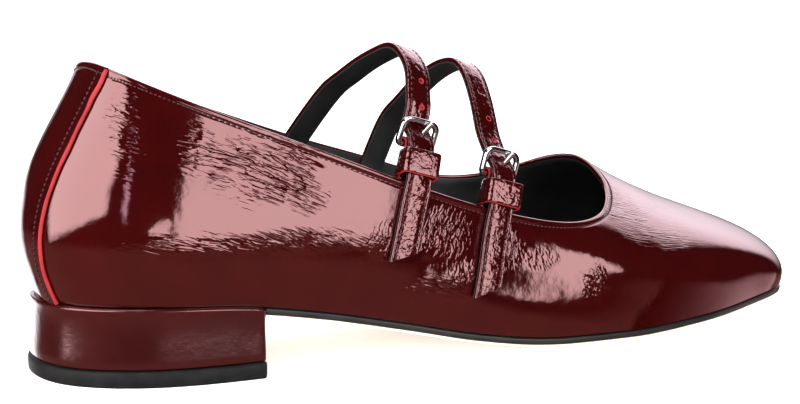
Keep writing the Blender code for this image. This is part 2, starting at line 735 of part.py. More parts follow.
def main():
    for old in list(bpy.data.objects):
        bpy.data.objects.remove(old)
    collection = bpy.data.collections.new("mary_jane_shoe")
    bpy.context.scene.collection.children.link(collection)
    cutters = bpy.data.collections.new("cutters")
    bpy.context.scene.collection.children.link(cutters)
    finishes = {
        "patent": material("burgundy_patent", (0.055, 0.004, 0.008), 0.08),
        "heel": material("heel_patent", (0.055, 0.004, 0.008), 0.10),
        "sole": material("sole_edge", (0.02, 0.018, 0.018), 0.45),
        "rubber": material("black_rubber", (0.008, 0.008, 0.008), 0.6),
        "lining": material("black_lining", (0.010, 0.010, 0.010), 0.7),
        "metal": material("silver_metal", (0.75, 0.75, 0.76), 0.18, 1.0),
    }
    make_upper(finishes["patent"], collection)
    make_outsole(finishes["sole"], collection)
    make_insole(finishes["lining"], collection)
    make_heel(finishes["heel"], collection)
    make_lift(finishes["rubber"], collection)
    for side, strap in STRAPS.items():
        make_strap_set(side, strap, finishes, collection, cutters)


main()
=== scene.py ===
import math

import bmesh
import bpy
import numpy as np
from mathutils import Matrix, Vector, noise


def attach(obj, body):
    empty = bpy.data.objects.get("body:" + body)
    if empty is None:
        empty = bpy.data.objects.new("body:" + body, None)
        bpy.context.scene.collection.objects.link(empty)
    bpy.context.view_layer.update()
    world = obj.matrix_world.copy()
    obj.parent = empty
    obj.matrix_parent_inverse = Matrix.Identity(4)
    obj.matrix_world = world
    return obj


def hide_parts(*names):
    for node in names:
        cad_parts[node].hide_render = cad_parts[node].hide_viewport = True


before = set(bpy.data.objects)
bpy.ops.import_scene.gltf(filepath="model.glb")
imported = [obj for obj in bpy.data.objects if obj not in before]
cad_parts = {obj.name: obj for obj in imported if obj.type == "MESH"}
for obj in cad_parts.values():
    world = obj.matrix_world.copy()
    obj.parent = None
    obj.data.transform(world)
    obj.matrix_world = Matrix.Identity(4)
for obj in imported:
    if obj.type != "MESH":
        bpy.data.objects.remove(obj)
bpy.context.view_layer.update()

MM = 0.001

# The shoe, as in the CAD.
LENGTH = 0.248
BALL_WIDTH = 0.078
BACK_HEIGHT = 0.085
WALL = 0.0018
GAP = 0.0003
SOLE_THICKNESS = 0.0028
HEEL_HEIGHT = 0.0184
HEEL_LENGTH = 0.0575
HEEL_FLARE = 0.0014
HEEL_RIM = 0.0009
LIFT_HEIGHT = 0.0044
LIFT_MARGIN = 0.0004
INSOLE_THICKNESS = 0.0022
INSOLE_CLEARANCE = 0.0006
SEAM_STEP = 0.0010
SEAM_FADE = 0.016
# The seam's course: share of the wall's height, and place round the shoe.
SEAM_LINE = ((0.0, 0.56), (0.10, 0.50), (0.28, 0.54), (0.42, 0.58), (0.60, 0.70), (0.74, 0.82),
             (0.88, 0.93), (1.0, 1.13))
SEAM_PLACE = 0.70
SEAM_REACH = 2.2
STRAP_WIDTH = 0.0078
STRAP_THICKNESS = 0.0018
STRAP_FIT = 0.0004
BAR_FIT = 0.0008
STRAP_ROOT = 0.012
STRAP_ROOT_TOP = 0.002
TAIL_RISE = 0.0006
EDGE_DROP = 0.001
TIP_LENGTH = 0.008
TWIST_LENGTH = 0.012
TAIL_TURN = math.radians(5.0)
KEEPER_TURN = math.radians(9.0)
CHAPE_WIDTH = 0.0072
CHAPE_THICKNESS = 0.0009
CHAPE_ROOT = 0.010
CHAPE_RISE = (0.3, 0.6, 0.9)
HOLE_PITCH = 0.0080
HOLE_SIDE = 0.0005
HOLE_LIFT = 0.00010
# The rings of a spare hole: radius and height.
HOLE_RINGS = (
    (0.0009, 0.00002), (0.00086, 0.00012), (0.0007, 0.00012), (0.0006, 0.00003), (0.0003, 0.00001),
)
BUCKLE_WIDTH = 0.0126
BUCKLE_HEIGHT = 0.0092
BUCKLE_WIRE = 0.0018
BUCKLE_CORNER = 0.0024
PIVOT_CORNER = 0.0013
PRONG_WIDTH = 0.0014
PRONG_ROOT_SIDE = 0.0004
PRONG_TIP_SIDE = 0.0020
PRONG_ROOT_DEPTH = 0.0004
PRONG_TIP_REACH = 0.00056
PRONG_REST = 0.00015
PRONG_HOLE_AT = 0.4
PRONG_ROUND = 0.9
KEEPER_WIDTH = 0.0110
KEEPER_HEIGHT = 0.0071
KEEPER_THICKNESS = 0.0010
KEEPER_CORNER = 0.0016
KEEPER_DROP = 0.0026
KEEPER_FIT = 0.0006
FRAME_WIRE = 0.0016
FINE_SAMPLES = 24
FINE_ROWS = 120
LEVEL_WINDOW = 0.0007

# The upper's rows, heel centre to toe centre, as in the CAD.
ROWS = """
foot_x foot_out foot_in  top_x top_out top_in  out_z   in_z  bulge   rise  swell   drop
 0.020    0.000   0.000  0.075   0.000  0.000  0.995  0.995  0.165  0.295  0.150  0.245
 0.040    0.200   0.210  0.080   0.135  0.125  0.985  0.975  0.140  0.270  0.100  0.255
 0.105    0.335   0.330  0.115   0.240  0.220  0.935  0.935  0.085  0.240  0.075  0.245
 0.195    0.375   0.350  0.200   0.320  0.295  0.830  0.855  0.065  0.210  0.060  0.230
 0.305    0.370   0.325  0.295   0.365  0.335  0.720  0.760  0.075  0.170  0.030  0.205
 0.420    0.380   0.320  0.390   0.395  0.365  0.610  0.665  0.075  0.145  0.005  0.180
 0.530    0.415   0.345  0.485   0.390  0.390  0.510  0.580  0.045  0.140 -0.010  0.170
 0.640    0.445   0.405  0.565   0.380  0.395  0.445  0.510  0.015  0.145  0.025  0.160
 0.740    0.440   0.440  0.630   0.355  0.360  0.415  0.500  0.015  0.155  0.125  0.155
 0.835    0.400   0.400  0.680   0.289  0.300  0.423  0.533  0.030  0.165  0.250  0.160
 0.910    0.325   0.325  0.712   0.187  0.218  0.459  0.569  0.050  0.170  0.345  0.170
 0.970    0.225   0.215  0.730   0.082  0.121  0.500  0.576  0.060  0.170  0.390  0.195
 0.995   -0.040  -0.040  0.735  -0.020 -0.020  0.545  0.545  0.060  0.215  0.415  0.215
"""

SOLE_PROFILE = (
    (0.00, 1.00), (0.12, 0.99), (0.21, 0.92), (0.30, 0.73), (0.40, 0.45), (0.50, 0.16),
    (0.57, 0.03), (0.62, 0.00), (0.70, 0.00), (0.80, 0.08), (0.90, 0.20), (1.00, 0.37),
)

STRAPS = {
    "rear": {
        "place": 0.326, "lean": 16.7, "turn": 11.5,
        "arch": ((0.160, 0.855), (0.090, 0.915), (0.020, 0.960), (-0.050, 1.000),
                 (-0.130, 1.035), (-0.195, 1.050), (-0.265, 1.020), (-0.320, 0.965),
                 (-0.345, 0.905), (-0.365, 0.860)),
        "bar": (-0.395, 0.818), "tilt": 7.0, "buckle_side": 0.0003, "tip": 0.373, "tip_slant": 0.0021,
        "seed": 2.0,
    },
    "front": {
        "place": 0.448, "lean": 16.4, "turn": 11.4,
        "arch": ((0.275, 0.735), (0.230, 0.795), (0.185, 0.840), (0.140, 0.885),
                 (0.080, 0.930), (0.020, 0.960), (-0.040, 0.975), (-0.110, 0.955),
                 (-0.170, 0.900), (-0.215, 0.845), (-0.250, 0.795), (-0.280, 0.750)),
        "bar": (-0.380, 0.695), "tilt": 3.0, "buckle_side": 0.0003, "tip": 0.225, "tip_slant": 0.0024,
        "seed": 17.0,
    },
}

# The upper's mesh.
UPPER_COLUMNS = 1000
COLUMN_STEPS = 241
BODY_ROWS = 54
EDGE_ROWS = 12
EDGE_BAND = 0.0040
EDGE_RADIUS = 0.0006
EDGE_STEPS = 7
INNER_ROWS = 12
LINING_ROWS = 22
LINING_DROP = 0.0010
LINING_THICKNESS = 0.00055
LINING_GAP = 0.00005
LIP_RISE = 0.0003

# Stitches and sewn edges.
STITCH_DROP = 0.0021
STITCH_PITCH = 0.0017
STITCH_BESIDE = 0.0003
STITCH_SINK = 0.00012
UPPER_THREAD = 0.00021
SEAM_THREAD = 0.00018
STRAP_THREAD = 0.00019
CHAPE_THREAD = 0.00016
STRAP_SEAM_INSET = 0.00115
STRAP_GROOVE = 0.00018
STRAP_LINING = 0.0005
STRAP_WRINKLE = 0.00006
SEAM_EDGE_WIDTH = 0.00062
SEAM_EDGE_HEIGHT = 0.0006
SEAM_EDGE_STAND = 0.00052
SEAM_STITCH_INSET = 0.0019
SEAM_STITCH_STAND = 0.00092
SEAM_STITCH_POINTS = 140
CHAPE_STITCH_INSET = 0.0009
CUT_EDGE = 0.00012

# The camera: degrees, metres and millimetres.
CAMERA_YAW = 29.008
CAMERA_PITCH = 8.577
CAMERA_ROLL = 0.357
CAMERA_PLACE = (-0.22916, -0.56824, 0.13789)
CAMERA_LENS = 102.1


# Curves and surfaces, as in the CAD.

def read_rows(text):
    lines = [line.split() for line in text.strip().splitlines()]
    values = np.array(lines[1:], float)
    return {name: values[:, k] for k, name in enumerate(lines[0])}


def around(outer, inner):
    """Heel centre, outer side, toe centre, inner side, as one closed ring."""
    return np.concatenate([outer, inner[-2:0:-1]])


def hermite(t, start, end, start_slope, end_slope):
    """Points of a cubic between two points with these slopes."""
    return ((2 * t**3 - 3 * t**2 + 1) * start + (t**3 - 2 * t**2 + t) * start_slope
            + (3 * t**2 - 2 * t**3) * end + (t**3 - t**2) * end_slope)


def unit(vectors):
    """The same vectors, along the last axis, with a length of one."""
    return vectors / np.linalg.norm(vectors, axis=-1, keepdims=True)


def run_along(line):
    """The distance along a line at each of its points."""
    return np.concatenate([[0], np.cumsum(np.linalg.norm(np.diff(line, axis=0), axis=1))])


def closed_spline(points, where):
    """A smooth closed curve at places counted in points, and its direction there."""
    points = np.asarray(points, float)
    count = len(points)
    identity = np.eye(count)
    matrix = 4 * identity + np.roll(identity, 1, 0) + np.roll(identity, -1, 0)
    slope = np.linalg.solve(matrix, 3 * (np.roll(points, -1, 0) - np.roll(points, 1, 0)))
    k = np.floor(where).astype(int)
    t = (where - k)[:, None]
    k = k % count
    after = (k + 1) % count
    direction = ((6 * t**2 - 6 * t) * points[k] + (3 * t**2 - 4 * t + 1) * slope[k]
                 + (6 * t - 6 * t**2) * points[after] + (3 * t**2 - 2 * t) * slope[after])
    return hermite(t, points[k], points[after], slope[k], slope[after]), direction


def open_spline(points, spacing):
    """A smooth open curve through the points, sampled about every spacing."""
    points = np.asarray(points, float)
    count = len(points)
    matrix = 4 * np.eye(count) + np.eye(count, k=1) + np.eye(count, k=-1)
    matrix[0, 0] = matrix[-1, -1] = 2
    change = np.empty_like(points)
    change[1:-1] = 3 * (points[2:] - points[:-2])
    change[0] = 3 * (points[1] - points[0])
    change[-1] = 3 * (points[-1] - points[-2])
    slope = np.linalg.solve(matrix, change)
    curve = []
    for k in range(count - 1):
        pieces = max(1, int(round(np.linalg.norm(points[k + 1] - points[k]) / spacing)))
        t = (np.arange(pieces) / pieces)[:, None]
        curve.append(hermite(t, points[k], points[k + 1], slope[k], slope[k + 1]))
    return np.vstack([*curve, points[-1:]])


def evenly(line, count):
    """The same curve with points at even steps."""
    run = run_along(line)
    at = np.linspace(0, run[-1], count)
    return np.column_stack([np.interp(at, run, column) for column in line.T])


def softened(line, width):
    """The same line with its tight bends eased over width points each way."""
    weights = np.hanning(2 * width + 3)[1:-1]
    weights /= weights.sum()
    padded = np.vstack([2 * line[0] - line[width:0:-1], line, 2 * line[-1] - line[-2:-width - 2:-1]])
    return np.column_stack([np.convolve(column, weights, "valid") for column in padded.T])


def along(share):
    return share * LENGTH - HEEL_LENGTH / 2


def sole_bottom(x):
    """Height of the sole's lower face at a distance from the origin."""
    shares, heights = np.array(SOLE_PROFILE).T
    slopes = np.gradient(heights, shares)
    slopes[heights == 0] = 0
    share = np.clip((np.asarray(x, float) + HEEL_LENGTH / 2) / LENGTH, 0, 1)
    k = np.clip(np.searchsorted(shares, share) - 1, 0, len(shares) - 2)
    span = shares[k + 1] - shares[k]
    t = (share - shares[k]) / span
    return hermite(t, heights[k], heights[k + 1], span * slopes[k], span * slopes[k + 1]) * HEEL_HEIGHT


def plan_normal(direction):
    return unit(np.column_stack([direction[:, 1], -direction[:, 0]]))


def ring_of(name_x, name_out, name_in, where, heights=None):
    """A closed curve through one x, outer and inner column of the rows, and its direction."""
    rows = read_rows(ROWS)
    columns = [around(along(rows[name_x]), along(rows[name_x])),
               around(-rows[name_out], rows[name_in]) * BALL_WIDTH]
    if heights is not None:
        columns.append(around(rows[heights[0]], rows[heights[1]]) * BACK_HEIGHT)
    return closed_spline(np.column_stack(columns), where)


def foot_ring(where, margin=0.0):
    """The edge of the sole in plan, heel centre first, outer side next."""
    ring, direction = ring_of("foot_x", "foot_out", "foot_in", where)
    normal = plan_normal(direction)
    return ring + normal * margin, normal


def top_ring(where):
    """The edge of the opening, and its outward direction in plan."""
    ring, direction = ring_of("top_x", "top_out", "top_in", where, ("out_z", "in_z"))
    return ring, plan_normal(direction)


RING_POINTS = 2 * (len(ROWS.strip().splitlines()) - 1) - 2


def upper_surface(where, t):
    """The upper's outer face at places round the shoe; t holds each column's heights, 0 to 1."""
    rows = read_rows(ROWS)
    foot, foot_normal = foot_ring(where)
    top, top_normal = top_ring(where)
    shape = np.column_stack([around(rows[name], rows[name]) for name in ("bulge", "rise", "swell", "drop")])
    bulge, rise, swell, drop = closed_spline(shape, where)[0].T
    low = np.column_stack([foot, sole_bottom(foot[:, 0]) + SOLE_THICKNESS + GAP])
    above_low = low + np.column_stack([foot_normal * bulge[:, None] * BALL_WIDTH, rise * BACK_HEIGHT])
    below_top = top + np.column_stack([top_normal * swell[:, None] * BALL_WIDTH, -drop * BACK_HEIGHT])
    t = np.broadcast_to(t, (len(where), np.shape(t)[-1]))[:, :, None]
    return ((1 - t)**3 * low[:, None] + 3 * (1 - t)**2 * t * above_low[:, None]
            + 3 * (1 - t) * t**2 * below_top[:, None] + t**3 * top[:, None])


def seam_where(t):
    """Where round the shoe the back seam runs at these heights."""
    heights, places = np.array(SEAM_LINE).T
    return np.polyval(np.polyfit(heights, places, 4), t)


def upper_along_seam(where, t):
    """The outer face with its columns bent so that the first one follows the seam."""
    t = np.broadcast_to(t, (len(where), np.shape(t)[-1]))
    apart = (where - SEAM_PLACE + RING_POINTS / 2) % RING_POINTS - RING_POINTS / 2
    near = smooth_step(1 - np.abs(apart) / SEAM_REACH)
    return np.concatenate([upper_surface(where + (seam_where(t[:, j]) - SEAM_PLACE) * near, t[:, j:j + 1])
                           for j in range(t.shape[1])], axis=1)


def surface_normals(grid, seamed=False):
    """Outward directions of a grid closed along its first axis, or with its first place repeated last."""
    if seamed:
        loop = surface_normals(grid[:-1])
        return np.concatenate([loop, loop[:1]])
    around_shoe = np.roll(grid, -1, 0) - np.roll(grid, 1, 0)
    return unit(np.cross(around_shoe, np.gradient(grid, axis=1)))


def smooth_step(value):
    value = np.clip(value, 0, 1)
    return value * value * (3 - 2 * value)


def outward(direction):
    return np.array([direction[1], -direction[0]])


# The straps' lines, as in the CAD.

def strap_axes(strap):
    turn = Matrix.Rotation(math.radians(strap["turn"]), 3, "Z")
    lean = Matrix.Rotation(math.radians(strap["lean"]), 3, "Y")
    return np.array(turn @ lean), np.array([along(strap["place"]), 0, 0])


def to_strap(points, strap):
    axes, place = strap_axes(strap)
    return (points - place) @ axes


def to_world(points, strap):
    axes, place = strap_axes(strap)
    return np.asarray(points) @ axes.T + place


def wall_faces(strap):
    """Points of the wall's outer and inner face under a strap, in the strap's axes."""
    where = np.arange(RING_POINTS * FINE_SAMPLES) / FINE_SAMPLES
    grid = upper_surface(where, np.linspace(0, 1, FINE_ROWS))
    outer = to_strap(grid.reshape(-1, 3), strap)
    inner = to_strap((grid - surface_normals(grid) * WALL).reshape(-1, 3), strap)
    near = np.abs(outer[:, 0]) < STRAP_WIDTH / 2
    return outer[near], inner[near]


def reach(points, side, height, twist):
    level = points[(points[:, 1] * side > 0) & (np.abs(points[:, 2] - height) < LEVEL_WINDOW)]
    return level[:, 1] - level[:, 0] * math.tan(twist)


def edge_near(strap, side):
    ring, _ = top_ring(np.arange(RING_POINTS * FINE_SAMPLES) / FINE_SAMPLES)
    edge = to_strap(ring, strap)
    near = edge[(np.abs(edge[:, 0]) < STRAP_WIDTH / 2) & (edge[:, 1] * side > 0)]
    slope = np.polyfit(near[:, 0], near[:, 1], 1)[0]
    return near[:, 2], math.atan(slope)


def strap_layout(strap):
    """Where the strap, chape, keeper and buckle lie, as (across, up) points."""
    outer, inner = wall_faces(strap)
    half = STRAP_THICKNESS / 2
    wire = BUCKLE_WIRE / 2
    arch = np.array(strap["arch"]) * (BALL_WIDTH, BACK_HEIGHT)
    bar = np.array(strap["bar"]) * (BALL_WIDTH, BACK_HEIGHT)
    tilt = math.radians(strap["tilt"])
    down = np.array([math.sin(tilt), -math.cos(tilt)])
    out = outward(down)
    pivot = bar + down * (BUCKLE_HEIGHT - BUCKLE_WIRE)
    loop = wire + STRAP_FIT + CHAPE_THICKNESS / 2

    inner_edge, inner_twist = edge_near(strap, 1)
    outer_edge, outer_twist = edge_near(strap, -1)
    root = [(reach(inner, 1, height, inner_twist).min() - STRAP_FIT - half, height)
            for height in np.linspace(inner_edge.min() - STRAP_ROOT, inner_edge.min() - STRAP_ROOT_TOP, 4)]
    tip = strap["tip"] * BACK_HEIGHT
    tail = [(reach(outer, -1, height, outer_twist).min() - STRAP_FIT - half, height)
            for height in np.linspace(outer_edge.max() - EDGE_DROP, tip, 7)]
    tail_top = np.array([tail[0][0], outer_edge.max() + TAIL_RISE])
    under_bar = bar - outward(unit(pivot + out * 2 * loop - arch[-1])) * (wire + BAR_FIT + half)
    lift_off = loop + CHAPE_THICKNESS / 2 + STRAP_FIT + half
    over_pivot = pivot + outward(unit(tail_top - under_bar)) * lift_off
    along_tail = unit(tail_top - over_pivot)
    keeper_top = over_pivot + along_tail * KEEPER_DROP
    in_keeper = [keeper_top + along_tail * KEEPER_HEIGHT * share for share in (0.0, 0.5, 1.0)]
    line = np.vstack([root, arch, under_bar, over_pivot, in_keeper, tail])

    chape_top = outer_edge.min() - EDGE_DROP
    chape = [(reach(inner, -1, height, outer_twist).max() + STRAP_FIT + CHAPE_THICKNESS / 2, height)
             for height in np.linspace(chape_top - CHAPE_ROOT, chape_top, 3)]
    turn = np.radians(np.linspace(0, 180, 9))[:, None]
    hook = pivot + loop * (np.cos(turn) * out - np.sin(turn) * down)
    rise = [chape[-1] + (hook[0] - chape[-1]) * share for share in CHAPE_RISE]
    return {"line": line, "chape": np.vstack([chape, rise, hook]), "bar": bar, "pivot": pivot,
            "out": out, "down": down, "along_tail": along_tail, "keeper_top": keeper_top,
            "inner_twist": inner_twist, "outer_twist": outer_twist}


def twisted(x, across, up, twist):
    return x * np.cos(twist), across + x * np.sin(twist), up


def keeper_depths(layout):
    """How far the keeper reaches inwards round the chape, at its top and at its end."""
    along_tail = layout["along_tail"]
    apart = layout["chape"] - layout["keeper_top"]
    below = apart @ along_tail
    inwards = -(apart @ outward(along_tail))
    rising = np.argsort(below[:np.argmin(below)])
    at = np.interp((0, KEEPER_HEIGHT), below[rising], inwards[rising])
    return at + CHAPE_THICKNESS / 2 + STRAP_FIT


# Meshes.

def rough(points, size, seed=0.0):
    """Smooth noise, about -1 to 1, at places in metres."""
    scaled = np.asarray(points, float) / size + seed
    return np.array([noise.noise(Vector(p)) for p in scaled.reshape(-1, 3)]).reshape(scaled.shape[:-1])


def grid_quads(columns, rows, closed_columns, closed_rows):
    """Quads of a grid stored column by column."""
    k, j = np.meshgrid(np.arange(columns if closed_columns else columns - 1),
                       np.arange(rows if closed_rows else rows - 1), indexing="ij")
    k, j = k.ravel(), j.ravel()
    k1, j1 = (k + 1) % columns, (j + 1) % rows
    return np.column_stack([k * rows + j, k1 * rows + j, k1 * rows + j1, k * rows + j1])


def linked(name, data):
    """A new object in the scene."""
    made = bpy.data.objects.new(name, data)
    bpy.context.scene.collection.objects.link(made)
    return made


def add_piece(name, shape, finish, replaces=(), angle=50.0, recalc=True):
    """A mesh piece that rides on the shoe, from its vertices and faces."""
    vertices, faces = shape
    mesh = bpy.data.meshes.new(name)
    mesh.from_pydata(np.asarray(vertices).tolist(), [], [tuple(int(i) for i in face) for face in faces])
    mesh.update()
    if recalc:
        turned = bmesh.new()
        turned.from_mesh(mesh)
        bmesh.ops.recalc_face_normals(turned, faces=turned.faces)
        turned.to_mesh(mesh)
        turned.free()
    mesh.shade_smooth()
    mesh.set_sharp_from_angle(angle=math.radians(angle))
    mesh.materials.append(finish)
    made = linked(name, mesh)
    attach(made, "root")
    for node in replaces:
        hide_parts(node)
    return made


def set_vectors(made, name, values):
    """A vector stored on each vertex, for the finish to read."""
    layer = made.data.attributes.new(name, "FLOAT_VECTOR", "POINT")
    layer.data.foreach_set("vector", np.asarray(values, np.float32).ravel())


def grid_shape(profile):
    """Vertices and faces of a grid of points that is closed both ways."""
    return profile.reshape(-1, 3), grid_quads(*profile.shape[:2], True, True)


def swept(sections, closed=False):
    """Vertices and faces of a tube through sections with the same number of points."""
    sections = np.asarray(sections, float)
    count, around_count = sections.shape[:2]
    faces = grid_quads(count, around_count, closed, True).tolist()
    if not closed:
        faces.append(list(range(around_count))[::-1])
        faces.append([(count - 1) * around_count + k for k in range(around_count)])
    return sections.reshape(-1, 3), faces


def joined(parts):
    """Several (vertices, faces) as one."""
    vertices, faces, first = [], [], 0
    for places, quads in parts:
        vertices.append(np.asarray(places))
        faces += [[first + i for i in face] for face in quads]
        first += len(places)
    return np.vstack(vertices), faces


def oval(centre, aside, upright, count):
    """Points round a centre, from the two half axes."""
    turn = np.arange(count)[:, None] * 2 * math.pi / count
    return centre + np.cos(turn) * aside + np.sin(turn) * upright


def capsule(start, end, radius, lift):
    """A stitch: a short thread between two points, humped away from the leather along lift."""
    step = end - start
    across = unit(np.cross(step, lift)) * radius
    upwards = unit(lift) * radius
    sections = []
    for share, width, hump in ((0.0, 0.35, -0.6), (0.12, 0.85, 0.1), (0.35, 1.0, 0.5),
                               (0.65, 1.0, 0.5), (0.88, 0.85, 0.1), (1.0, 0.35, -0.6)):
        sections.append(oval(start + step * share + upwards * hump, across * width, upwards * width, 6))
    return swept(sections)


def add_stitches(name, threads, finish):
    """Stitches as one piece, from the shapes of their threads."""
    add_piece(name, joined(threads), finish, recalc=False)


# Finishes.

def new_material(name):
    made = bpy.data.materials.new(name)
    made.use_nodes = True
    return made, made.node_tree, made.node_tree.nodes["Principled BSDF"]


def multiplied(tree, first, second):
    """One value times another, which is a number or a socket."""
    made = tree.nodes.new("ShaderNodeMath")
    made.operation = "MULTIPLY"
    tree.links.new(first, made.inputs[0])
    if isinstance(second, float):
        made.inputs[1].default_value = second
    else:
        tree.links.new(second, made.inputs[1])
    return made.outputs[0]


def attribute(tree, name):
    made = tree.nodes.new("ShaderNodeAttribute")
    made.attribute_name = name
    return made


def noise_node(tree, vector, scale, detail, distortion=0.0):
    made = tree.nodes.new("ShaderNodeTexNoise")
    made.inputs["Scale"].default_value = scale
    made.inputs["Detail"].default_value = detail
    made.inputs["Distortion"].default_value = distortion
    tree.links.new(vector, made.inputs["Vector"])
    return made.outputs["Fac"]


def mapped(tree, vector, angle, scale, location):
    made = tree.nodes.new("ShaderNodeMapping")
    made.vector_type = "TEXTURE"
    made.inputs["Rotation"].default_value = (0, 0, math.radians(angle))
    made.inputs["Scale"].default_value = scale
    made.inputs["Location"].default_value = location
    tree.links.new(vector, made.inputs["Vector"])
    return made.outputs[0]


def bump_node(tree, height, distance, normal=None):
    made = tree.nodes.new("ShaderNodeBump")
    made.inputs["Strength"].default_value = 1.0
    made.inputs["Distance"].default_value = distance
    tree.links.new(height, made.inputs["Height"])
    if normal is not None:
        tree.links.new(normal, made.inputs["Normal"])
    return made.outputs["Normal"]


def set_tones(tree, shader, tone, *stops):
    """A base colour that follows a value between two stops of (position, colour)."""
    ramp = tree.nodes.new("ShaderNodeValToRGB")
    for element, (position, colour) in zip(ramp.color_ramp.elements, stops):
        element.position = position
        element.color = (*colour, 1)
    tree.links.new(tone, ramp.inputs[0])
    tree.links.new(ramp.outputs[0], shader.inputs["Base Color"])


def set_haze(tree, shader, value, low, high):
    """A roughness that follows a value."""
    spread = tree.nodes.new("ShaderNodeMapRange")
    spread.inputs["To Min"].default_value = low
    spread.inputs["To Max"].default_value = high
    tree.links.new(value, spread.inputs["Value"])
    tree.links.new(spread.outputs[0], shader.inputs["Roughness"])


PATENT = np.array([0.0195, 0.0008, 0.0009])
PATENT_SHEEN = (1.0, 0.54, 0.545)
# The creases of the flat leather: angle in degrees, pitch, length and depth.
CREASES = (
    (-14.0, 0.0011, 0.0058, 0.00070), (58.0, 0.0011, 0.0030, 0.00066), (-35.0, 0.0010, 0.0050, 0.00055),
)
# Finishes of patent leather: material, creased, depth of the grain and of the mottling, roughness.
PATENT_FINISHES = {
    "patent": ("burgundy_patent", True, 0.000007, 0.0, (0.035, 0.085)),
    "band": ("burgundy_strap", False, 0.000009, 0.00022, (0.035, 0.085)),
    "heel": ("heel_patent", False, 0.00001, 0.00003, (0.17, 0.24)),
}
# Other finishes: material, dark and light tone, roughness, size and depth of the grain, gloss.
PLAIN_FINISHES = {
    "thread": ("burgundy_thread", (0.018, 0.002, 0.003), (0.04, 0.004, 0.006), 0.5, 0.0004, 0.00002, 0.5),
    "pale_thread": ("pale_thread", (0.55, 0.52, 0.5), (0.75, 0.72, 0.7), 0.6, 0.0004, 0.00002, 0.5),
    "raw": ("raw_leather_edge", (0.20, 0.005, 0.008), (0.28, 0.008, 0.011), 0.55, 0.0006, 0.00004, 0.3),
    "lining": ("black_lining", (0.008,) * 3, (0.014,) * 3, 0.55, 0.0007, 0.00003, 0.35),
    "sole": ("black_sole_edge", (0.008, 0.0075, 0.007), (0.014, 0.013, 0.012), 0.32, 0.0009, 0.00001, 0.5),
    "cream": ("cream_sole", (0.72, 0.62, 0.50), (0.80, 0.71, 0.58), 0.6, 0.0012, 0.00003, 0.3),
    "rubber": ("black_rubber", (0.006,) * 3, (0.011,) * 3, 0.55, 0.0008, 0.00003, 0.1),
}


def patent_material(name, creased, grain, mottle, haze):
    """Patent leather: a clear, soft-lacquered gloss over a deep red, creased where the shoe bends.
    The sheet attribute is the leather's own flat place, creases holds how much of each direction."""
    made, tree, shader = new_material(name)
    shader.inputs["Specular IOR Level"].default_value = 1.0
    shader.inputs["Specular Tint"].default_value = (*PATENT_SHEEN, 1)
    place = tree.nodes.new("ShaderNodeTexCoord").outputs["Object"]
    set_tones(tree, shader, noise_node(tree, place, 90.0, 3.0), (0.3, PATENT * 0.86), (0.75, PATENT * 1.12))
    set_haze(tree, shader, noise_node(tree, place, 210.0, 4.0), *haze)
    normal = bump_node(tree, noise_node(tree, place, 1500.0, 2.0), grain)
    normal = bump_node(tree, noise_node(tree, place, 330.0, 1.0), grain * 5, normal)
    if mottle:
        normal = bump_node(tree, noise_node(tree, place, 620.0, 1.5, 0.8), mottle, normal)
    if creased:
        flat = attribute(tree, "sheet").outputs["Vector"]
        split = tree.nodes.new("ShaderNodeSeparateXYZ")
        tree.links.new(attribute(tree, "creases").outputs["Vector"], split.inputs[0])
        for k, (angle, pitch, length, depth) in enumerate(CREASES):
            turned = mapped(tree, flat, angle, (length, pitch, 1), (0.013 * k, 0.007 * k, 0))
            height = multiplied(tree, noise_node(tree, turned, 1.0, 1.2, 0.7), split.outputs[k])
            normal = bump_node(tree, height, depth, normal)
    tree.links.new(normal, shader.inputs["Normal"])
    return made


def plain_material(name, dark, light, roughness, grain_size, grain_depth, gloss):
    """A finish with fine grain and a slight change of tone."""
    made, tree, shader = new_material(name)
    shader.inputs["Roughness"].default_value = roughness
    shader.inputs["Specular IOR Level"].default_value = gloss
    place = tree.nodes.new("ShaderNodeTexCoord").outputs["Object"]
    set_tones(tree, shader, noise_node(tree, place, 160.0, 4.0), (0.35, dark), (0.7, light))
    grain = noise_node(tree, place, 1 / grain_size, 3.0)
    tree.links.new(bump_node(tree, grain, grain_depth), shader.inputs["Normal"])
    return made


def metal_material(name):
    made, tree, shader = new_material(name)
    shader.inputs["Metallic"].default_value = 1.0
    shader.inputs["Base Color"].default_value = (0.50, 0.50, 0.52, 1)
    worn = noise_node(tree, tree.nodes.new("ShaderNodeTexCoord").outputs["Object"], 700.0, 3.0)
    set_haze(tree, shader, worn, 0.05, 0.16)
    tree.links.new(bump_node(tree, worn, 0.000006), shader.inputs["Normal"])
    return made


# The upper.

# Where the leather is crinkled: middle (x, z), half sizes and strength, lengths in millimetres.
# The inner side has them too, but weaker.
CREASE_ZONES = {
    "lengthwise": (
        (28, 57, 17, 10, 1.0), (12, 62, 9, 8, 0.6), (40, 50, 7, 6, 0.9), (20, 38, 30, 3.0, 0.8),
        (50, 35.5, 22, 2.2, 0.5), (-7, 66, 5, 14, 0.7), (80, 20, 12, 4, 0.6),
    ),
    "diagonal": (
        (63, 35, 5, 5, 0.7), (84, 35, 9, 8, 0.9), (103, 30, 6, 6, 0.9), (90, 24, 7, 4, 0.6),
        (131, 18, 4, 5, 0.6), (114, 26, 6, 3, 0.4),
    ),
    "radial": ((152, 35, 10, 9, 0.55), (148, 38, 7, 6, 0.75), (160, 27, 10, 4, 0.4), (165, 32, 16, 8, 0.22)),
}
INNER_SHARE = 0.7

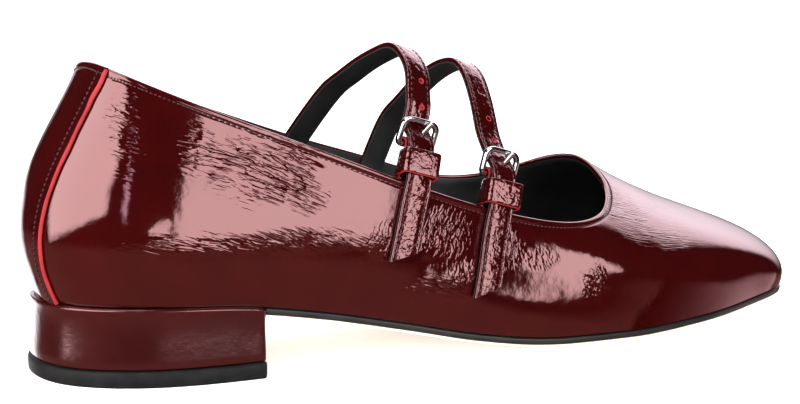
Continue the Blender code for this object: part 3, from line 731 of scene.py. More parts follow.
# Larger creases, listed one by one: from (x, z) to (x, z), half width and depth, in millimetres.
# A depth below zero is a ridge.
HAND_CREASES = (
    (12, 65, 48, 52, 4.6, 0.55), (20, 57, 44, 48, 1.5, 0.10), (18, 61, 40, 53, 1.3, 0.08),
    (26, 63, 50, 54, 1.4, 0.10), (22, 53, 46, 45, 1.4, 0.08), (28, 47, 52, 41, 1.5, 0.07),
    (6, 40, 34, 37, 1.6, 0.06), (58, 38, 68, 30, 1.8, -0.07), (78, 40, 88, 30, 1.5, 0.10),
    (82, 43, 91, 33, 1.4, -0.08), (76, 36, 84, 28, 1.3, 0.08), (72, 28, 92, 25, 2.0, 0.22),
    (76, 20.5, 88, 18.5, 2.4, -0.14), (100, 33, 108, 24, 1.8, 0.10), (104, 36, 112, 27, 1.5, -0.07),
    (124, 22, 133, 13, 1.8, 0.10), (128, 23, 137, 14, 1.5, -0.07), (150, 38, 158, 28, 2.0, 0.06),
)


def even_places(count):
    """Places round the shoe from the seam back to it, whose columns stand at even steps."""
    where = SEAM_PLACE + np.linspace(0, RING_POINTS, RING_POINTS * 40 + 1)
    middle = upper_surface(where, np.array([0.55]))[:, 0]
    run = run_along(middle)
    at = np.linspace(0, run[-1], count + 1)
    return np.interp(at, run, where), at, run[-1]


def runs_up(where, t):
    """The distance up each column at these heights."""
    steps = np.linalg.norm(np.diff(upper_surface(where, t), axis=1), axis=2)
    return np.concatenate([np.zeros((len(where), 1)), np.cumsum(steps, axis=1)], axis=1)


def below_edge(where, drops):
    """Points of the outer face at distances below its edge; drops is columns by rows."""
    t = np.linspace(0, 1, COLUMN_STEPS)
    run = runs_up(where, t)
    heights = [np.interp(run[k, -1] - drops[k], run[k], t) for k in range(len(where))]
    return upper_along_seam(where, np.array(heights))


def seam_raise(places, total):
    """How far the inner panel stands over the outer one, column by column."""
    return smooth_step(1 - (total - places) / SEAM_FADE) * SEAM_STEP


def relief(points, drops, inner_side):
    """The leather's own unevenness, creases and edge, as heights above the smooth face. Up to the
    last line they are in millimetres."""
    x, z = points[..., 0] / MM, points[..., 2] / MM
    height = 0.10 * rough(points, 0.022, 3.1) + 0.035 * rough(points, 0.009, 7.7)
    share = np.where(inner_side[:, None], INNER_SHARE, 1.0)
    for x1, z1, x2, z2, width, depth in HAND_CREASES:
        step = np.array([x2 - x1, z2 - z1], float)
        length = np.hypot(*step)
        run = ((x - x1) * step[0] + (z - z1) * step[1]) / length
        bend = 1.2 * np.sin(run / length * 2.6 + x1)
        off = ((z - z1) * step[0] - (x - x1) * step[1]) / length + bend
        ends = smooth_step(run / 5) * smooth_step((length - run) / 5)
        height -= share * depth * ends * np.exp(-(off / width)**2)
    wavy = zone_masks(points, inner_side)
    height += 0.040 * wavy[0] * np.sin((z + 0.26 * x) * 2.6 + 3.2 * rough(points, 0.007, 1.3))
    height += 0.020 * wavy[1] * np.sin((x - 0.55 * z) * 2.2 + 3.5 * rough(points, 0.006, 5.3))
    mm_drop = drops / MM
    height -= 0.16 * np.exp(-((mm_drop - STITCH_DROP / MM) / 0.42)**2)
    height += 0.09 * np.exp(-((mm_drop - 1.0) / 0.6)**2)
    return height * MM


def zone_masks(points, inner_side):
    """How much each crease direction shows at each point."""
    x, z = points[..., 0] / MM, points[..., 2] / MM
    share = np.where(inner_side[:, None], INNER_SHARE, 1.0)
    patchy = 0.75 + 0.5 * rough(points, 0.006, 11.0)
    masks = []
    for zones in CREASE_ZONES.values():
        value = np.zeros_like(x)
        for middle_x, middle_z, half_x, half_z, strength in zones:
            far = np.sqrt(((x - middle_x) / half_x)**2 + ((z - middle_z) / half_z)**2)
            value = np.maximum(value, strength * smooth_step(1.35 - far))
        masks.append(value * share * patchy)
    return masks


def make_upper(finishes):
    where, places, total = even_places(UPPER_COLUMNS)
    lengths = runs_up(where, np.linspace(0, 1, COLUMN_STEPS))[:, -1]
    steps = np.linspace(1, 0, BODY_ROWS, endpoint=False)
    body = EDGE_BAND + (lengths[:, None] - EDGE_BAND) * steps
    edge = np.linspace(EDGE_BAND, EDGE_RADIUS, EDGE_ROWS)
    drops = np.concatenate([body, np.broadcast_to(edge, (len(where), EDGE_ROWS))], axis=1)
    grid = below_edge(where, drops)
    normals = surface_normals(grid, True)
    inner_side = grid[:, BODY_ROWS // 2, 1] > 0
    raised = seam_raise(places, total)
    outer = grid + normals * (relief(grid, drops, inner_side) + raised[:, None])[:, :, None]

    upwards = unit(outer[:, -1] - outer[:, -2])
    out = normals[:, -1]
    centre = outer[:, -1] - out * EDGE_RADIUS
    turns = np.linspace(0, math.pi, EDGE_STEPS + 2)[1:-1]
    rim = np.stack([centre + EDGE_RADIUS * (math.cos(a) * out + math.sin(a) * upwards) for a in turns], 1)
    inner_rows = np.linspace(drops.shape[1] - 1, 0, INNER_ROWS).round().astype(int)
    inner = (grid + normals * (raised[:, None, None] - 2 * EDGE_RADIUS))[:, inner_rows]
    profile = np.concatenate([outer, rim, inner], axis=1)
    made = add_piece("upper_leather", grid_shape(profile), finishes["patent"], ("upper",))

    outer_rows = outer.shape[1]
    sheet = np.zeros_like(profile)
    sheet[:, :, 0] = places[:, None]
    sheet[:, :, 1] = lengths[:, None]
    sheet[:, :outer_rows, 1] -= drops
    masks = np.zeros_like(profile)
    masks[:, :outer_rows] = np.stack(zone_masks(grid, inner_side), axis=2)
    set_vectors(made, "sheet", sheet)
    set_vectors(made, "creases", masks)

    # The lining's rows run downwards, so the grid's normal points inwards.
    steps = np.linspace(0, 1, LINING_ROWS)
    face = below_edge(where, LINING_DROP + (lengths[:, None] - LINING_DROP) * steps)[:-1]
    away = surface_normals(face)
    front = face + away * (2 * EDGE_RADIUS + LINING_GAP)
    back = face + away * (2 * EDGE_RADIUS + LINING_THICKNESS)
    lip = (face[:, :1] + away[:, :1] * (2 * EDGE_RADIUS + LINING_THICKNESS / 2)
           + unit(face[:, :1] - face[:, 1:2]) * LIP_RISE)
    profile = np.concatenate([front[:, ::-1], lip, back], axis=1)[::2]
    add_piece("upper_lining", grid_shape(profile), finishes["lining"])

    # Stitches below the edge, all the way round.
    where, places, total = even_places(int(total / STITCH_PITCH) * 3)
    low = np.full((len(where), 3), STITCH_DROP) + np.array([STITCH_BESIDE, 0, -STITCH_BESIDE])
    grid = below_edge(where, low)
    normals = surface_normals(grid, True)[:, 1]
    line = grid[:, 1] + normals * (seam_raise(places, total) - STITCH_SINK)[:, None]
    add_stitches("upper_stitches", [capsule(line[k], line[k + 2], UPPER_THREAD, normals[k])
                                    for k in range(3, len(line) - 3, 3)], finishes["thread"])
    make_seam(finishes)


def make_seam(finishes):
    """The raw red edge of the inner panel, lapped over the outer panel at the back, and its stitches."""
    t = np.linspace(0.0, 0.992, 150)
    before, middle, after = (upper_surface(seam_where(t) + off, t[:, None])[:, 0]
                             for off in (-0.08, 0.0, 0.08))
    along_seam = np.gradient(middle, axis=0)
    normal = unit(np.cross(after - before, along_seam))
    sideways = unit(np.cross(along_seam, normal))
    if sideways[len(t) // 2, 1] > 0:
        sideways = -sideways
    height = np.linspace(0, 1, len(t))
    wobble = rough(middle, 0.006, 2.0) * (0.00012 + 0.00035 * smooth_step((height - 0.72) / 0.2))
    width = (SEAM_EDGE_WIDTH + 0.00016 * rough(middle, 0.004, 9.0)
             + 0.0002 * smooth_step((height - 0.8) / 0.1))
    centre = middle + sideways * (wobble + 0.0002)[:, None] + normal * SEAM_EDGE_STAND
    turn = np.arange(12)[:, None] * 2 * math.pi / 12
    squared = 0.82 + 0.18 * np.abs(np.cos(2 * turn))
    sections = (centre[:, None] + np.cos(turn) * squared * (sideways * width[:, None])[:, None]
                + np.sin(turn) * squared * normal[:, None] * SEAM_EDGE_HEIGHT)
    add_piece("seam_edge", swept(sections), finishes["raw"])
    line = evenly(middle - sideways * SEAM_STITCH_INSET + normal * SEAM_STITCH_STAND, SEAM_STITCH_POINTS)
    lifts = evenly(normal, SEAM_STITCH_POINTS)
    add_stitches("seam_stitches", [capsule(line[k], line[k + 2], SEAM_THREAD, lifts[k])
                                   for k in range(2, SEAM_STITCH_POINTS - 3, 3)], finishes["thread"])


# The heel, sole and insole.

def sides_of(where, margin):
    """The outer and inner half of the sole's edge, both from heel to toe."""
    ring, _ = foot_ring(where, margin)
    half = len(ring) // 2
    return ring[:half + 1], np.concatenate([ring[:1], ring[:half - 1:-1]])


def heel_outline(margin, corner=0.0012):
    """The heel in plan: round at the back, flat across its front, with small round corners."""
    front = HEEL_LENGTH / 2
    turn = np.linspace(0, math.pi / 2, 6)[1:]
    ends = []
    for side in sides_of(np.arange(RING_POINTS * 16) / 16, margin):
        count = int(np.argmin(side[:, 0] < front - corner))
        before, after = side[count - 1], side[count]
        last = before + (after - before) * (front - corner - before[0]) / (after[0] - before[0])
        bend = np.column_stack([last[0] + corner * np.sin(turn),
                                last[1] - np.sign(last[1]) * corner * (1 - np.cos(turn))])
        ends.append(np.vstack([evenly(side[:count], 70), last, bend]))
    across = np.linspace(ends[1][-1], ends[0][-1], 14)[1:-1]
    return np.vstack([ends[0][::-1], ends[1][1:], across])


# The heel's cover: share of its height, and how far it stands outside the sole's edge.
HEEL_SHAPE = (
    (0.0, 0.0008), (0.012, 0.0011), (0.03, 0.0012), (0.15, 0.0011), (0.30, 0.0010), (0.48, 0.0008),
    (0.65, 0.0007), (0.80, 0.0007), (0.87, 0.0008), (0.91, HEEL_RIM + 0.0001), (0.95, HEEL_RIM + 0.0003),
    (0.975, HEEL_RIM + 0.0002), (0.992, HEEL_RIM - 0.0001), (1.0, HEEL_RIM - 0.0006),
)
# The lift: height, and how far it stands outside its own margin.
LIFT_SHAPE = (
    (0.0, -0.0006), (0.0003, -0.0002), (0.0007, 0.0), (0.0022, 0.0001), (0.0036, 0.0001), (0.0041, -0.0001),
    (LIFT_HEIGHT, -0.0005),
)
HEEL_UNEVEN = 0.00008
TREAD = 0.00075


def make_heel(finishes):
    seat = LIFT_HEIGHT + GAP
    sections = []
    for share, margin in HEEL_SHAPE:
        outline = heel_outline(margin)
        top = sole_bottom(outline[:, 0]) + SOLE_THICKNESS
        places = np.column_stack([outline, seat + (top - seat) * share])
        places[:, :2] += unit(outline) * rough(places, 0.012, 4.0)[:, None] * HEEL_UNEVEN
        sections.append(places)
    add_piece("heel_cover", swept(sections), finishes["heel"], ("heel_block",), angle=45)


def make_lift(finishes):
    sections = []
    for height, grow in LIFT_SHAPE:
        outline = heel_outline(HEEL_FLARE + LIFT_MARGIN + grow)
        sections.append(np.column_stack([outline, np.full(len(outline), height)]))
    add_piece("heel_tread", swept(sections), finishes["rubber"], ("top_lift",), angle=45)


def sole_sides(margin, start, count):
    """Outer and inner edge points of the sole, from the heel or from start to the toe."""
    edges = []
    for side in sides_of(np.arange(RING_POINTS * 24) / 24, margin):
        if start is not None:
            first = int(np.argmax(side[:, 0] > start))
            before, after = side[first - 1], side[first]
            cut = before + (after - before) * (start - before[0]) / (after[0] - before[0])
            side = np.vstack([cut, side[first:]])
        edges.append(evenly(side, count))
    return edges


def plate_piece(name, margin, start, rim, finish, replaces=(), count=150):
    """A plate under the foot, from start, or from the heel when that is None, to the toe.
    rim gives its edge as (inset, height above the sole's lower face)."""
    rings = []
    for inset, height in rim:
        outer, inner = sole_sides(margin - inset, start, count)
        ring = np.vstack([outer, inner[-2:0:-1] if start is None else inner[-2::-1]])
        rings.append(np.column_stack([ring, sole_bottom(ring[:, 0]) + height]))
    size = len(rings[0])
    # The flat faces run across from side to side, and a last one closes the toe.
    pairs = [(k, size - k if start is None else size - 1 - k) for k in range(1, count - 1)]
    if start is not None:
        pairs = [(0, size - 1)] + pairs
    flat = [[a, c, d, b] for (a, b), (c, d) in zip(pairs, pairs[1:])]
    flat.append(list(range(pairs[-1][0], pairs[-1][1] + 1)))
    heel = [[0, *pairs[0]]] if start is None else []
    faces = grid_quads(len(rings), size, False, True).tolist() + [face[::-1] for face in flat] + heel
    faces += [[(len(rings) - 1) * size + k for k in face] for face in flat + heel]
    add_piece(name, (np.vstack(rings), faces), finish, replaces, angle=45)


def make_soles(finishes):
    start = HEEL_LENGTH / 2 + GAP
    plate_piece("sole_edge", 0.0, start,
                ((0.0006, TREAD + 0.00002), (0.0001, TREAD + 0.0002), (0.0, 0.0014), (0.0001, 0.0024),
                 (0.0006, SOLE_THICKNESS)), finishes["sole"], ("outsole",))
    plate_piece("sole_tread", 0.0, start,
                ((0.0014, 0.0), (0.0006, 0.00008), (0.0003, 0.0003), (0.0004, TREAD)),
                finishes["cream"])
    seat = SOLE_THICKNESS + GAP
    plate_piece("insole_sock", -(WALL + INSOLE_CLEARANCE), None,
                ((0.0, seat), (0.0, seat + 0.0016), (0.0004, seat + INSOLE_THICKNESS),
                 (0.0012, seat + INSOLE_THICKNESS)), finishes["lining"], ("insole",))


# Straps, chapes, keepers, buckles and prongs.

def band_sections(strap, line, twists, width, outline, slant=0.0):
    """Sections of a band along a line of the strap. outline holds (sideways, outwards) points."""
    direction = unit(np.gradient(line, axis=0))
    run = run_along(line)
    last = np.array([0, *unit(line[-1] - line[-2])])
    sections = []
    for k, place in enumerate(line):
        sideways = np.array([math.cos(twists[k]), math.sin(twists[k]), 0])
        normal = unit(np.cross(sideways, [0, *direction[k]]))
        if normal @ np.array([0, *outward(direction[k])]) < 0:
            normal = -normal
        shift = last * -2 / width * slant * np.clip(1 - (run[-1] - run[k]) / TIP_LENGTH, 0, 1)
        centre = np.array([0, *place])
        sections.append([centre + (sideways + shift) * side + normal * out for side, out in outline])
    return to_world(sections, strap)


def band_outline(width, top, bottom, radius, groove=None):
    """A band's cross section: flat below, round shoulders, and sewn grooves along its edges."""
    half = width / 2
    points = []
    for angle in np.radians((-90, -45, 0, 30, 60, 90)):
        middle = bottom + radius if angle < 0 else top - radius
        points.append((half - radius + radius * math.cos(angle), middle + radius * math.sin(angle)))
    if groove is None:
        points += [(half * 0.5, top + 0.00003), (0.0, top + 0.00004)]
    else:
        inset, depth = groove
        seam = half - inset
        for at in (seam + 0.0005, seam + 0.0002, seam, seam - 0.0002, seam - 0.0005, seam * 0.5, 0.0):
            near = math.exp(-((at - seam) / 0.00025)**2)
            crown = 0.00012 * (1 - (at / seam)**2)
            points.append((at, top - depth * near + max(crown, 0)))
    return points + [(-side, out) for side, out in points[-2::-1]]


def holes_at(line, prong):
    """Places of the spare holes along the strap, as indices of line."""
    middle = prong[0, 1:] + (prong[-1] - prong[0])[1:] * PRONG_HOLE_AT
    run = run_along(line)
    at_prong = run[np.argmin(np.linalg.norm(line - middle, axis=1))]
    return [int(np.argmin(np.abs(run - (at_prong - number * HOLE_PITCH)))) for number in (1, 2)]


def prong_line(layout, side_shift):
    stand_off = BUCKLE_WIRE / 2 + STRAP_FIT + PRONG_WIDTH / 2
    root = layout["pivot"] - layout["down"] * stand_off - layout["out"] * PRONG_ROOT_DEPTH
    tip = layout["bar"] + layout["out"] * (stand_off + PRONG_REST) - layout["down"] * PRONG_TIP_REACH
    share = np.linspace(0, 1, 5)[:, None]
    line = root + (tip - root) * share
    x = PRONG_ROOT_SIDE + (PRONG_TIP_SIDE - PRONG_ROOT_SIDE) * share[:, 0] + side_shift
    return np.column_stack(twisted(x, line[:, 0], line[:, 1], layout["outer_twist"]))


def rounded_rectangle(width, height, upper_radius, lower_radius, corner_points=9):
    points = []
    for quarter, (x, y, radius) in enumerate(((1, 1, upper_radius), (-1, 1, upper_radius),
                                              (-1, -1, lower_radius), (1, -1, lower_radius))):
        for angle in np.radians(90 * (quarter + np.linspace(0, 1, corner_points))):
            points.append((x * (width / 2 - radius) + radius * math.cos(angle),
                           y * (height / 2 - radius) + radius * math.sin(angle)))
    return np.array(points)


def make_leather_band(name, strap, line, twists, finishes):
    """The strap's patent face over its black lining."""
    top, bottom = STRAP_THICKNESS / 2, -STRAP_THICKNESS / 2
    split = bottom + STRAP_LINING
    outline = band_outline(STRAP_WIDTH, top, split + 0.00003, 0.0004, (STRAP_SEAM_INSET, STRAP_GROOVE))
    world = band_sections(strap, line, twists, STRAP_WIDTH, outline, strap["tip_slant"])
    # Cross wrinkles of the leather, on its outer face.
    sides, levels = np.array(outline).T
    wave = (np.sin(run_along(line)[:, None] / 0.00105 + 3.0 * rough(world, 0.004, strap["seed"]))
            * np.clip(0.35 + rough(world, 0.007, strap["seed"] + 5), 0, 1))
    inner = np.exp(-(sides / 0.0028)**4) * (levels > 0)
    normals = np.cross(np.gradient(world, axis=0), np.roll(world, -1, 1) - np.roll(world, 1, 1))
    normals /= np.linalg.norm(normals, axis=2)[:, :, None] + 1e-12
    normals *= np.sign(((world - world.mean(1)[:, None]) * normals).sum(2))[:, :, None]
    world = world + normals * (wave * inner * STRAP_WRINKLE)[:, :, None]
    add_piece(name + "_strap_leather", swept(world), finishes["band"], (name + "_strap",))
    lining = band_sections(strap, line, twists, STRAP_WIDTH,
                           band_outline(STRAP_WIDTH - 0.0003, split, bottom, 0.0002), strap["tip_slant"])
    add_piece(name + "_strap_lining", swept(lining), finishes["lining"])


def make_strap_edges(name, strap, line, twists, finishes):
    """Stitches along both edges and across the tip, and the red core at the tail's cut end."""
    run = run_along(line)
    count = int(run[-1] / (STITCH_PITCH / 3))
    edge = STRAP_WIDTH / 2 - STRAP_SEAM_INSET
    level = STRAP_THICKNESS / 2 - STITCH_SINK
    seams = band_sections(strap, evenly(line, count), np.interp(np.linspace(0, run[-1], count), run, twists),
                          STRAP_WIDTH, [(-edge, level), (edge, level), (0, 0), (0, MM)], strap["tip_slant"])
    lifts = seams[:, 3] - seams[:, 2]
    threads = [capsule(seams[k, side], seams[k + 2, side], STRAP_THREAD, lifts[k])
               for side in (0, 1) for k in range(3, count - 5, 3)]
    across = np.linspace(seams[-4, 0], seams[-4, 1], 13)
    threads += [capsule(across[k], across[k + 2], STRAP_THREAD, lifts[-4]) for k in range(0, 12, 3)]
    add_stitches(name + "_strap_stitches", threads, finishes["thread"])

    outline = band_outline(STRAP_WIDTH - 0.0012, STRAP_THICKNESS / 2 - 0.0004,
                           -STRAP_THICKNESS / 2 + 0.0005, 0.0002)
    end = np.array([line[-2], line[-1] + unit(line[-1] - line[-2]) * 0.0001])
    tip = band_sections(strap, end, twists[-2:], STRAP_WIDTH, outline, strap["tip_slant"])
    add_piece(name + "_tail_edge", swept(tip), finishes["raw"])


def make_strap_set(name, strap, finishes):
    layout = strap_layout(strap)
    shift = strap["buckle_side"]
    coarse = open_spline(layout["line"], 0.0034)
    line = softened(evenly(open_spline(coarse, 0.0006), int(140 * len(coarse) / 30)), 5)
    above_bar = np.where(line[:, 0] > 0, TWIST_LENGTH, line[:, 1] - layout["bar"][1])
    share = smooth_step(1 - above_bar / TWIST_LENGTH)
    twists = layout["inner_twist"] + (layout["outer_twist"] - layout["inner_twist"]) * share
    below_keeper = layout["keeper_top"][1] - KEEPER_HEIGHT - line[:, 1]
    twists = twists - TAIL_TURN * smooth_step(below_keeper / 0.004) * (line[:, 0] < 0)
    prong = prong_line(layout, shift)
    make_leather_band(name, strap, line, twists, finishes)
    make_strap_edges(name, strap, line, twists, finishes)
    make_holes(name, strap, line, twists, prong, finishes)
    make_chape(name, strap, layout, finishes)
    make_keeper(name, strap, layout, shift, finishes)
    make_buckle(name, strap, layout, shift, prong, finishes)


def make_holes(name, strap, line, twists, prong, finishes):
    """The spare holes, as raw red rings with a sunken middle."""
    parts = []
    for k in holes_at(line, prong):
        direction = unit(line[k + 1] - line[k - 1])
        out = np.array([0, *outward(direction)])
        sideways = np.array([math.cos(twists[k]), math.sin(twists[k]), 0])
        lengthwise = np.array([0, *direction])
        centre = np.array(twisted(HOLE_SIDE, *line[k], twists[k])) + out * (STRAP_THICKNESS / 2 + HOLE_LIFT)
        rings = [oval(centre + out * height, sideways * radius, lengthwise * radius, 20)
                 for radius, height in HOLE_RINGS]
        parts.append(swept(to_world(rings, strap)))
    add_piece(name + "_spare_holes", joined(parts), finishes["raw"])


def make_chape(name, strap, layout, finishes):
    """The leather that holds the buckle, with red cut edges and pale stitches along its rear edge."""
    line = evenly(open_spline(layout["chape"], 0.0004), 90)
    half, edge = CHAPE_THICKNESS / 2, CHAPE_WIDTH / 2

    def sections(outline):
        return band_sections(strap, line, np.full(len(line), layout["outer_twist"]), CHAPE_WIDTH, outline)

    add_piece(name + "_chape_leather", swept(sections(band_outline(CHAPE_WIDTH, half, -half, 0.0003))),
              finishes["band"], (name + "_chape",))
    corners = ((-1, -0.8), (1, -0.8), (1, 0.8), (-1, 0.8))
    rails = [swept(sections([(side + x * CUT_EDGE, y * half) for x, y in corners]))
             for side in (-edge, edge)]
    add_piece(name + "_chape_edges", joined(rails), finishes["raw"])
    row = sections([(-edge + CHAPE_STITCH_INSET, half + 0.00004), (0, 0), (0, MM)])
    lifts = row[:, 2] - row[:, 1]
    threads = [capsule(row[k, 0], row[k + 2, 0], CHAPE_THREAD, lifts[k]) for k in range(4, 70, 3)]
    add_stitches(name + "_chape_stitches", threads, finishes["pale_thread"])


# The keeper's section along the strap: (share of its height, share of its thickness).
KEEPER_LOOP = (
    (0.0, 0.15), (0.0, 0.7), (0.012, 0.9), (0.04, 1.0), (0.2, 1.0), (0.4, 1.0), (0.6, 1.0), (0.8, 1.0),
    (0.96, 1.0), (0.988, 0.9), (1.0, 0.7), (1.0, 0.15), (0.97, 0.0), (0.5, 0.0), (0.03, 0.0),
)
KEEPER_RIM = (
    (0.985, 0.80), (0.991, 0.88), (1.004, 0.86), (1.011, 0.7), (1.011, 0.3), (1.0, 0.1), (0.985, 0.4),
)


def make_keeper(name, strap, layout, side_shift, finishes):
    """A leather loop round the strap's end and the chape, with a raw red rim."""
    face = STRAP_THICKNESS / 2 + KEEPER_FIT
    depths = keeper_depths(layout)
    along_tail = layout["along_tail"]
    turn = Matrix.Rotation(layout["outer_twist"] - KEEPER_TURN, 3, "Z") @ Matrix.Rotation(
        math.atan2(-along_tail[0], along_tail[1]), 3, "X")
    place = np.array(twisted(side_shift, *layout["keeper_top"], layout["outer_twist"]))

    def ring(level, grow):
        depth = face + depths[0] + (depths[1] - depths[0]) * level
        radius = KEEPER_CORNER + (grow - 1) * KEEPER_THICKNESS
        outline = rounded_rectangle(KEEPER_WIDTH + 2 * (grow - 1) * KEEPER_THICKNESS,
                                    depth + 2 * grow * KEEPER_THICKNESS, radius, radius)
        points = np.column_stack([outline[:, 0], outline[:, 1] + face - depth / 2,
                                  np.full(len(outline), level * KEEPER_HEIGHT)])
        return points @ np.array(turn).T + place

    loop = to_world([ring(*step) for step in KEEPER_LOOP], strap)
    uneven = rough(loop, 0.0035, 6.0) * np.array([grow == 1.0 for _, grow in KEEPER_LOOP])[:, None] * 0.00010
    loop = loop + unit(loop - loop.mean(1)[:, None]) * uneven[:, :, None]
    add_piece(name + "_keeper_loop", grid_shape(loop), finishes["band"],
              (name + "_keeper",), angle=60)
    rim = to_world([ring(*step) for step in KEEPER_RIM], strap)
    add_piece(name + "_keeper_rims", grid_shape(rim), finishes["raw"])


def tube(strap, points, radii, sides, normal, closed=False):
    """A tube along points, between round and square, as drawn wire that has been pressed."""
    step = np.roll(points, -1, 0) - np.roll(points, 1, 0) if closed else np.gradient(points, axis=0)
    tangent = unit(step)
    aside = unit(np.cross(tangent, normal))
    upright = unit(np.cross(aside, tangent))
    turn = np.arange(sides) * 2 * math.pi / sides
    cos, sin = np.cos(turn), np.sin(turn)
    squared = radii[:, None] / (np.abs(cos)**3.5 + np.abs(sin)**3.5)**(1 / 3.5)
    sections = (points[:, None] + (cos * squared)[:, :, None] * aside[:, None]
                + (sin * squared)[:, :, None] * upright[:, None])
    return swept(to_world(sections, strap), closed)


def make_buckle(name, strap, layout, side_shift, prong, finishes):
    centre = (layout["bar"] + layout["pivot"]) / 2
    outline = rounded_rectangle(BUCKLE_WIDTH - BUCKLE_WIRE, BUCKLE_HEIGHT - BUCKLE_WIRE, BUCKLE_CORNER,
                                PIVOT_CORNER, 11)
    points = np.array([twisted(x + side_shift, *(centre - layout["down"] * y), layout["outer_twist"])
                       for x, y in outline])
    normal = np.array([0, *layout["out"]])
    frame_wire = tube(strap, points, np.full(len(points), FRAME_WIRE / 2), 20, normal, True)
    add_piece(name + "_buckle_frame", frame_wire, finishes["metal"],
              (name + "_buckle",), angle=60)
    past = np.clip((np.linspace(0, 1, 24) - PRONG_ROUND) / (1 - PRONG_ROUND), 0, 1)
    radii = PRONG_WIDTH / 2 * np.sqrt(np.clip(1 - past**2, 0.02, 1))
    radii[0] *= 0.5
    add_piece(name + "_buckle_prong", tube(strap, evenly(prong, 24), radii, 14, normal), finishes["metal"],
              (name + "_prong",), angle=60)


# The studio.

CENTRE = np.array([0.100, -0.020, 0.040])
PANEL_STEPS = 24
WHITE = (1.0, 1.0, 1.0)
EVEN_FADE = (0.07, 0.07, 0.07, 0.07)
# Soft panels: four corners as (azimuth, elevation) in degrees, seen from the shoe (low left, low
# right, high right, high left), distance, radiance, colour, the share of the panel over which its
# glow fades (left, right, low, high), and whether it lights matt surfaces.
PANELS = {
    "right_softbox": (((-93, -3), (-60, -3), (-60, 33), (-84, 33)), 1.2, 6.9, WHITE, EVEN_FADE, True),
    "right_softbox_low": (((-107, -3), (-92, -3), (-92, 9), (-98, 7)), 1.2, 6.9, WHITE,
                          (0.2, 0.05, 0.2, 0.4), True),
    "left_softbox": (((164, -11), (230, 10), (228, 44), (166, 44)), 1.2, 7.6, WHITE, EVEN_FADE, True),
    "backdrop_light": (((6, -8), (100, -8), (100, 82), (6, 82)), 1.3, 4.0, (1.0, 0.87, 0.95),
                       (0.14, 0.10, 0.40, 0.1), False),
    "toe_glow": (((-50, -34), (2, -34), (6, -4), (-50, -8)), 1.2, 1.9, (1.0, 0.70, 0.74),
                 (1.0, 0.1, 0.1, 0.35), True),
    "rim_light": (((66, -24), (118, -24), (118, 3), (66, 3)), 1.2, 4.0, (1.0, 0.93, 0.96),
                  (0.1, 0.25, 0.2, 0.2), False),
    "top_softbox": (((70, 62), (250, 62), (250, 86), (70, 86)), 1.3, 7.0, WHITE, EVEN_FADE, True),
    "sparkle_strip": (((-121, 4), (-115, 4), (-115, 30), (-121, 30)), 1.2, 5.0, (0.84, 0.80, 1.0),
                      (0.3, 0.3, 0.3, 0.3), True),
}
FLOOR_SIZE = 30.0
FLOOR_COLOUR = (0.96, 0.955, 0.95, 1)
FLOOR_GLOW = (1.0, 0.985, 0.97, 1)
FLOOR_GLOW_STRENGTH = 0.37
# In the gloss the floor is dim and warm, and the room above it dark; other rays meet ROOM_LIGHT.
GLOSS_FLOOR = (0.38, 0.22, 0.19)
GLOSS_ROOM = (0.014, 0.014, 0.014)
GLOSS_EDGE = (-0.26, -0.12)
ROOM_LIGHT = (1.5, 1.5, 1.5)


def direction_to(azimuth, elevation):
    """The direction of an azimuth from +X towards +Y, and an elevation, in degrees."""
    a, e = math.radians(azimuth), math.radians(elevation)
    return np.array([math.cos(e) * math.cos(a), math.cos(e) * math.sin(a), math.sin(e)])


def soft_panel(name, corners, distance, radiance, colour, fade, lights_matt):
    """A glowing sheet that only gives light and reflections."""
    low_left, low_right, high_right, high_left = (np.array(corner, float) for corner in corners)
    vertices, glows = [], []
    for across in np.linspace(0, 1, PANEL_STEPS):
        low = low_left + (low_right - low_left) * across
        high = high_left + (high_right - high_left) * across
        for up in np.linspace(0, 1, PANEL_STEPS):
            vertices.append(CENTRE + distance * direction_to(*(low + (high - low) * up)))
            edges = (across, 1 - across, up, 1 - up)
            glows.append(float(np.prod([smooth_step(v / part) for v, part in zip(edges, fade)])))
    mesh = bpy.data.meshes.new(name)
    mesh.from_pydata([tuple(v) for v in vertices], [],
                     grid_quads(PANEL_STEPS, PANEL_STEPS, False, False).tolist())
    mesh.attributes.new("glow", "FLOAT", "POINT").data.foreach_set("value", np.array(glows, np.float32))
    glow, tree, shader = new_material(name)
    tree.nodes.remove(shader)
    shine = tree.nodes.new("ShaderNodeEmission")
    shine.inputs["Color"].default_value = (*colour, 1)
    strength = multiplied(tree, attribute(tree, "glow").outputs["Fac"], radiance)
    tree.links.new(strength, shine.inputs["Strength"])
    tree.links.new(shine.outputs[0], tree.nodes["Material Output"].inputs["Surface"])
    mesh.materials.append(glow)
    made = linked(name, mesh)
    made.visible_camera = False
    made.visible_diffuse = lights_matt


def make_floor():
    mesh = bpy.data.meshes.new("floor")
    corners = [(x * FLOOR_SIZE, y * FLOOR_SIZE, 0) for x, y in ((-1, -1), (1, -1), (1, 1), (-1, 1))]
    mesh.from_pydata(corners, [], [(0, 1, 2, 3)])
    pale, _, shader = new_material("floor")
    shader.inputs["Base Color"].default_value = FLOOR_COLOUR
    shader.inputs["Roughness"].default_value = 0.9
    # The floor is lit so strongly that the shoe's shadow is nearly gone.
    shader.inputs["Emission Color"].default_value = FLOOR_GLOW
    shader.inputs["Emission Strength"].default_value = FLOOR_GLOW_STRENGTH
    shader.inputs["Specular IOR Level"].default_value = 0.0
    mesh.materials.append(pale)
    made = linked("floor", mesh)
    made.visible_glossy = False


def mixed(tree, share, first):
    """A mix node that starts from a colour."""
    made = tree.nodes.new("ShaderNodeMix")
    made.data_type = "RGBA"
    tree.links.new(share, made.inputs[0])
    made.inputs[6].default_value = (*first, 1)
    return made


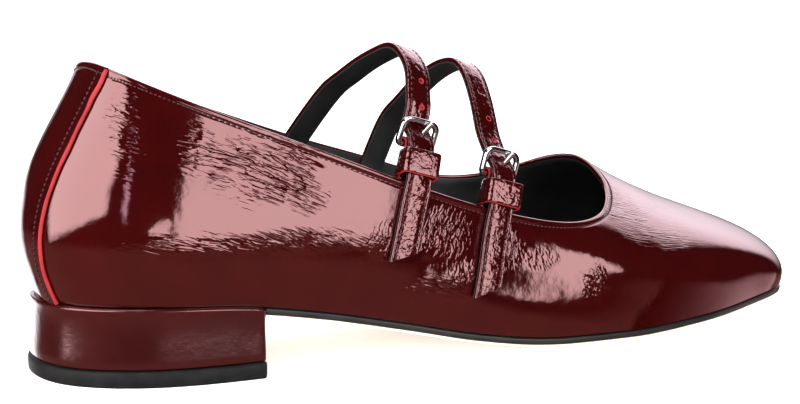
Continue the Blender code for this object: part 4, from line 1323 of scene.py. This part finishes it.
def make_studio():
    for name, panel in PANELS.items():
        soft_panel(name, *panel)
    make_floor()
    bpy.context.scene.view_settings.view_transform = "Standard"
    world = bpy.data.worlds.new("studio")
    bpy.context.scene.world = world
    world.use_nodes = True
    tree = world.node_tree
    split = tree.nodes.new("ShaderNodeSeparateXYZ")
    tree.links.new(tree.nodes.new("ShaderNodeTexCoord").outputs["Generated"], split.inputs[0])
    upper = tree.nodes.new("ShaderNodeMapRange")
    upper.inputs["From Min"].default_value, upper.inputs["From Max"].default_value = GLOSS_EDGE
    tree.links.new(split.outputs["Z"], upper.inputs["Value"])
    gloss = mixed(tree, upper.outputs[0], GLOSS_FLOOR)
    gloss.inputs[7].default_value = (*GLOSS_ROOM, 1)
    seen = mixed(tree, tree.nodes.new("ShaderNodeLightPath").outputs["Is Glossy Ray"], ROOM_LIGHT)
    tree.links.new(gloss.outputs[2], seen.inputs[7])
    tree.links.new(seen.outputs[2], tree.nodes["Background"].inputs["Color"])
    tree.nodes["Background"].inputs["Strength"].default_value = 1.0


def make_camera():
    yaw, pitch, roll = (math.radians(v) for v in (CAMERA_YAW, CAMERA_PITCH, CAMERA_ROLL))
    right = Vector((math.cos(yaw), -math.sin(yaw), 0))
    forward = Vector((math.sin(yaw) * math.cos(pitch), math.cos(yaw) * math.cos(pitch), -math.sin(pitch)))
    up = right.cross(forward)
    across = right * math.cos(roll) + up * math.sin(roll)
    upright = up * math.cos(roll) - right * math.sin(roll)
    data = bpy.data.cameras.new("camera")
    data.lens = CAMERA_LENS
    data.sensor_width = 36
    data.sensor_fit = "HORIZONTAL"
    data.clip_start = 0.01
    made = linked("camera", data)
    made.matrix_world = Matrix.Translation(CAMERA_PLACE) @ Matrix(
        (across, upright, -forward)).transposed().to_4x4()
    bpy.context.scene.camera = made


def main():
    finishes = {key: patent_material(*values) for key, values in PATENT_FINISHES.items()}
    finishes |= {key: plain_material(*values) for key, values in PLAIN_FINISHES.items()}
    finishes["metal"] = metal_material("silver_metal")
    make_camera()
    make_studio()
    make_upper(finishes)
    make_heel(finishes)
    make_lift(finishes)
    make_soles(finishes)
    for name, strap in STRAPS.items():
        make_strap_set(name, strap, finishes)


main()
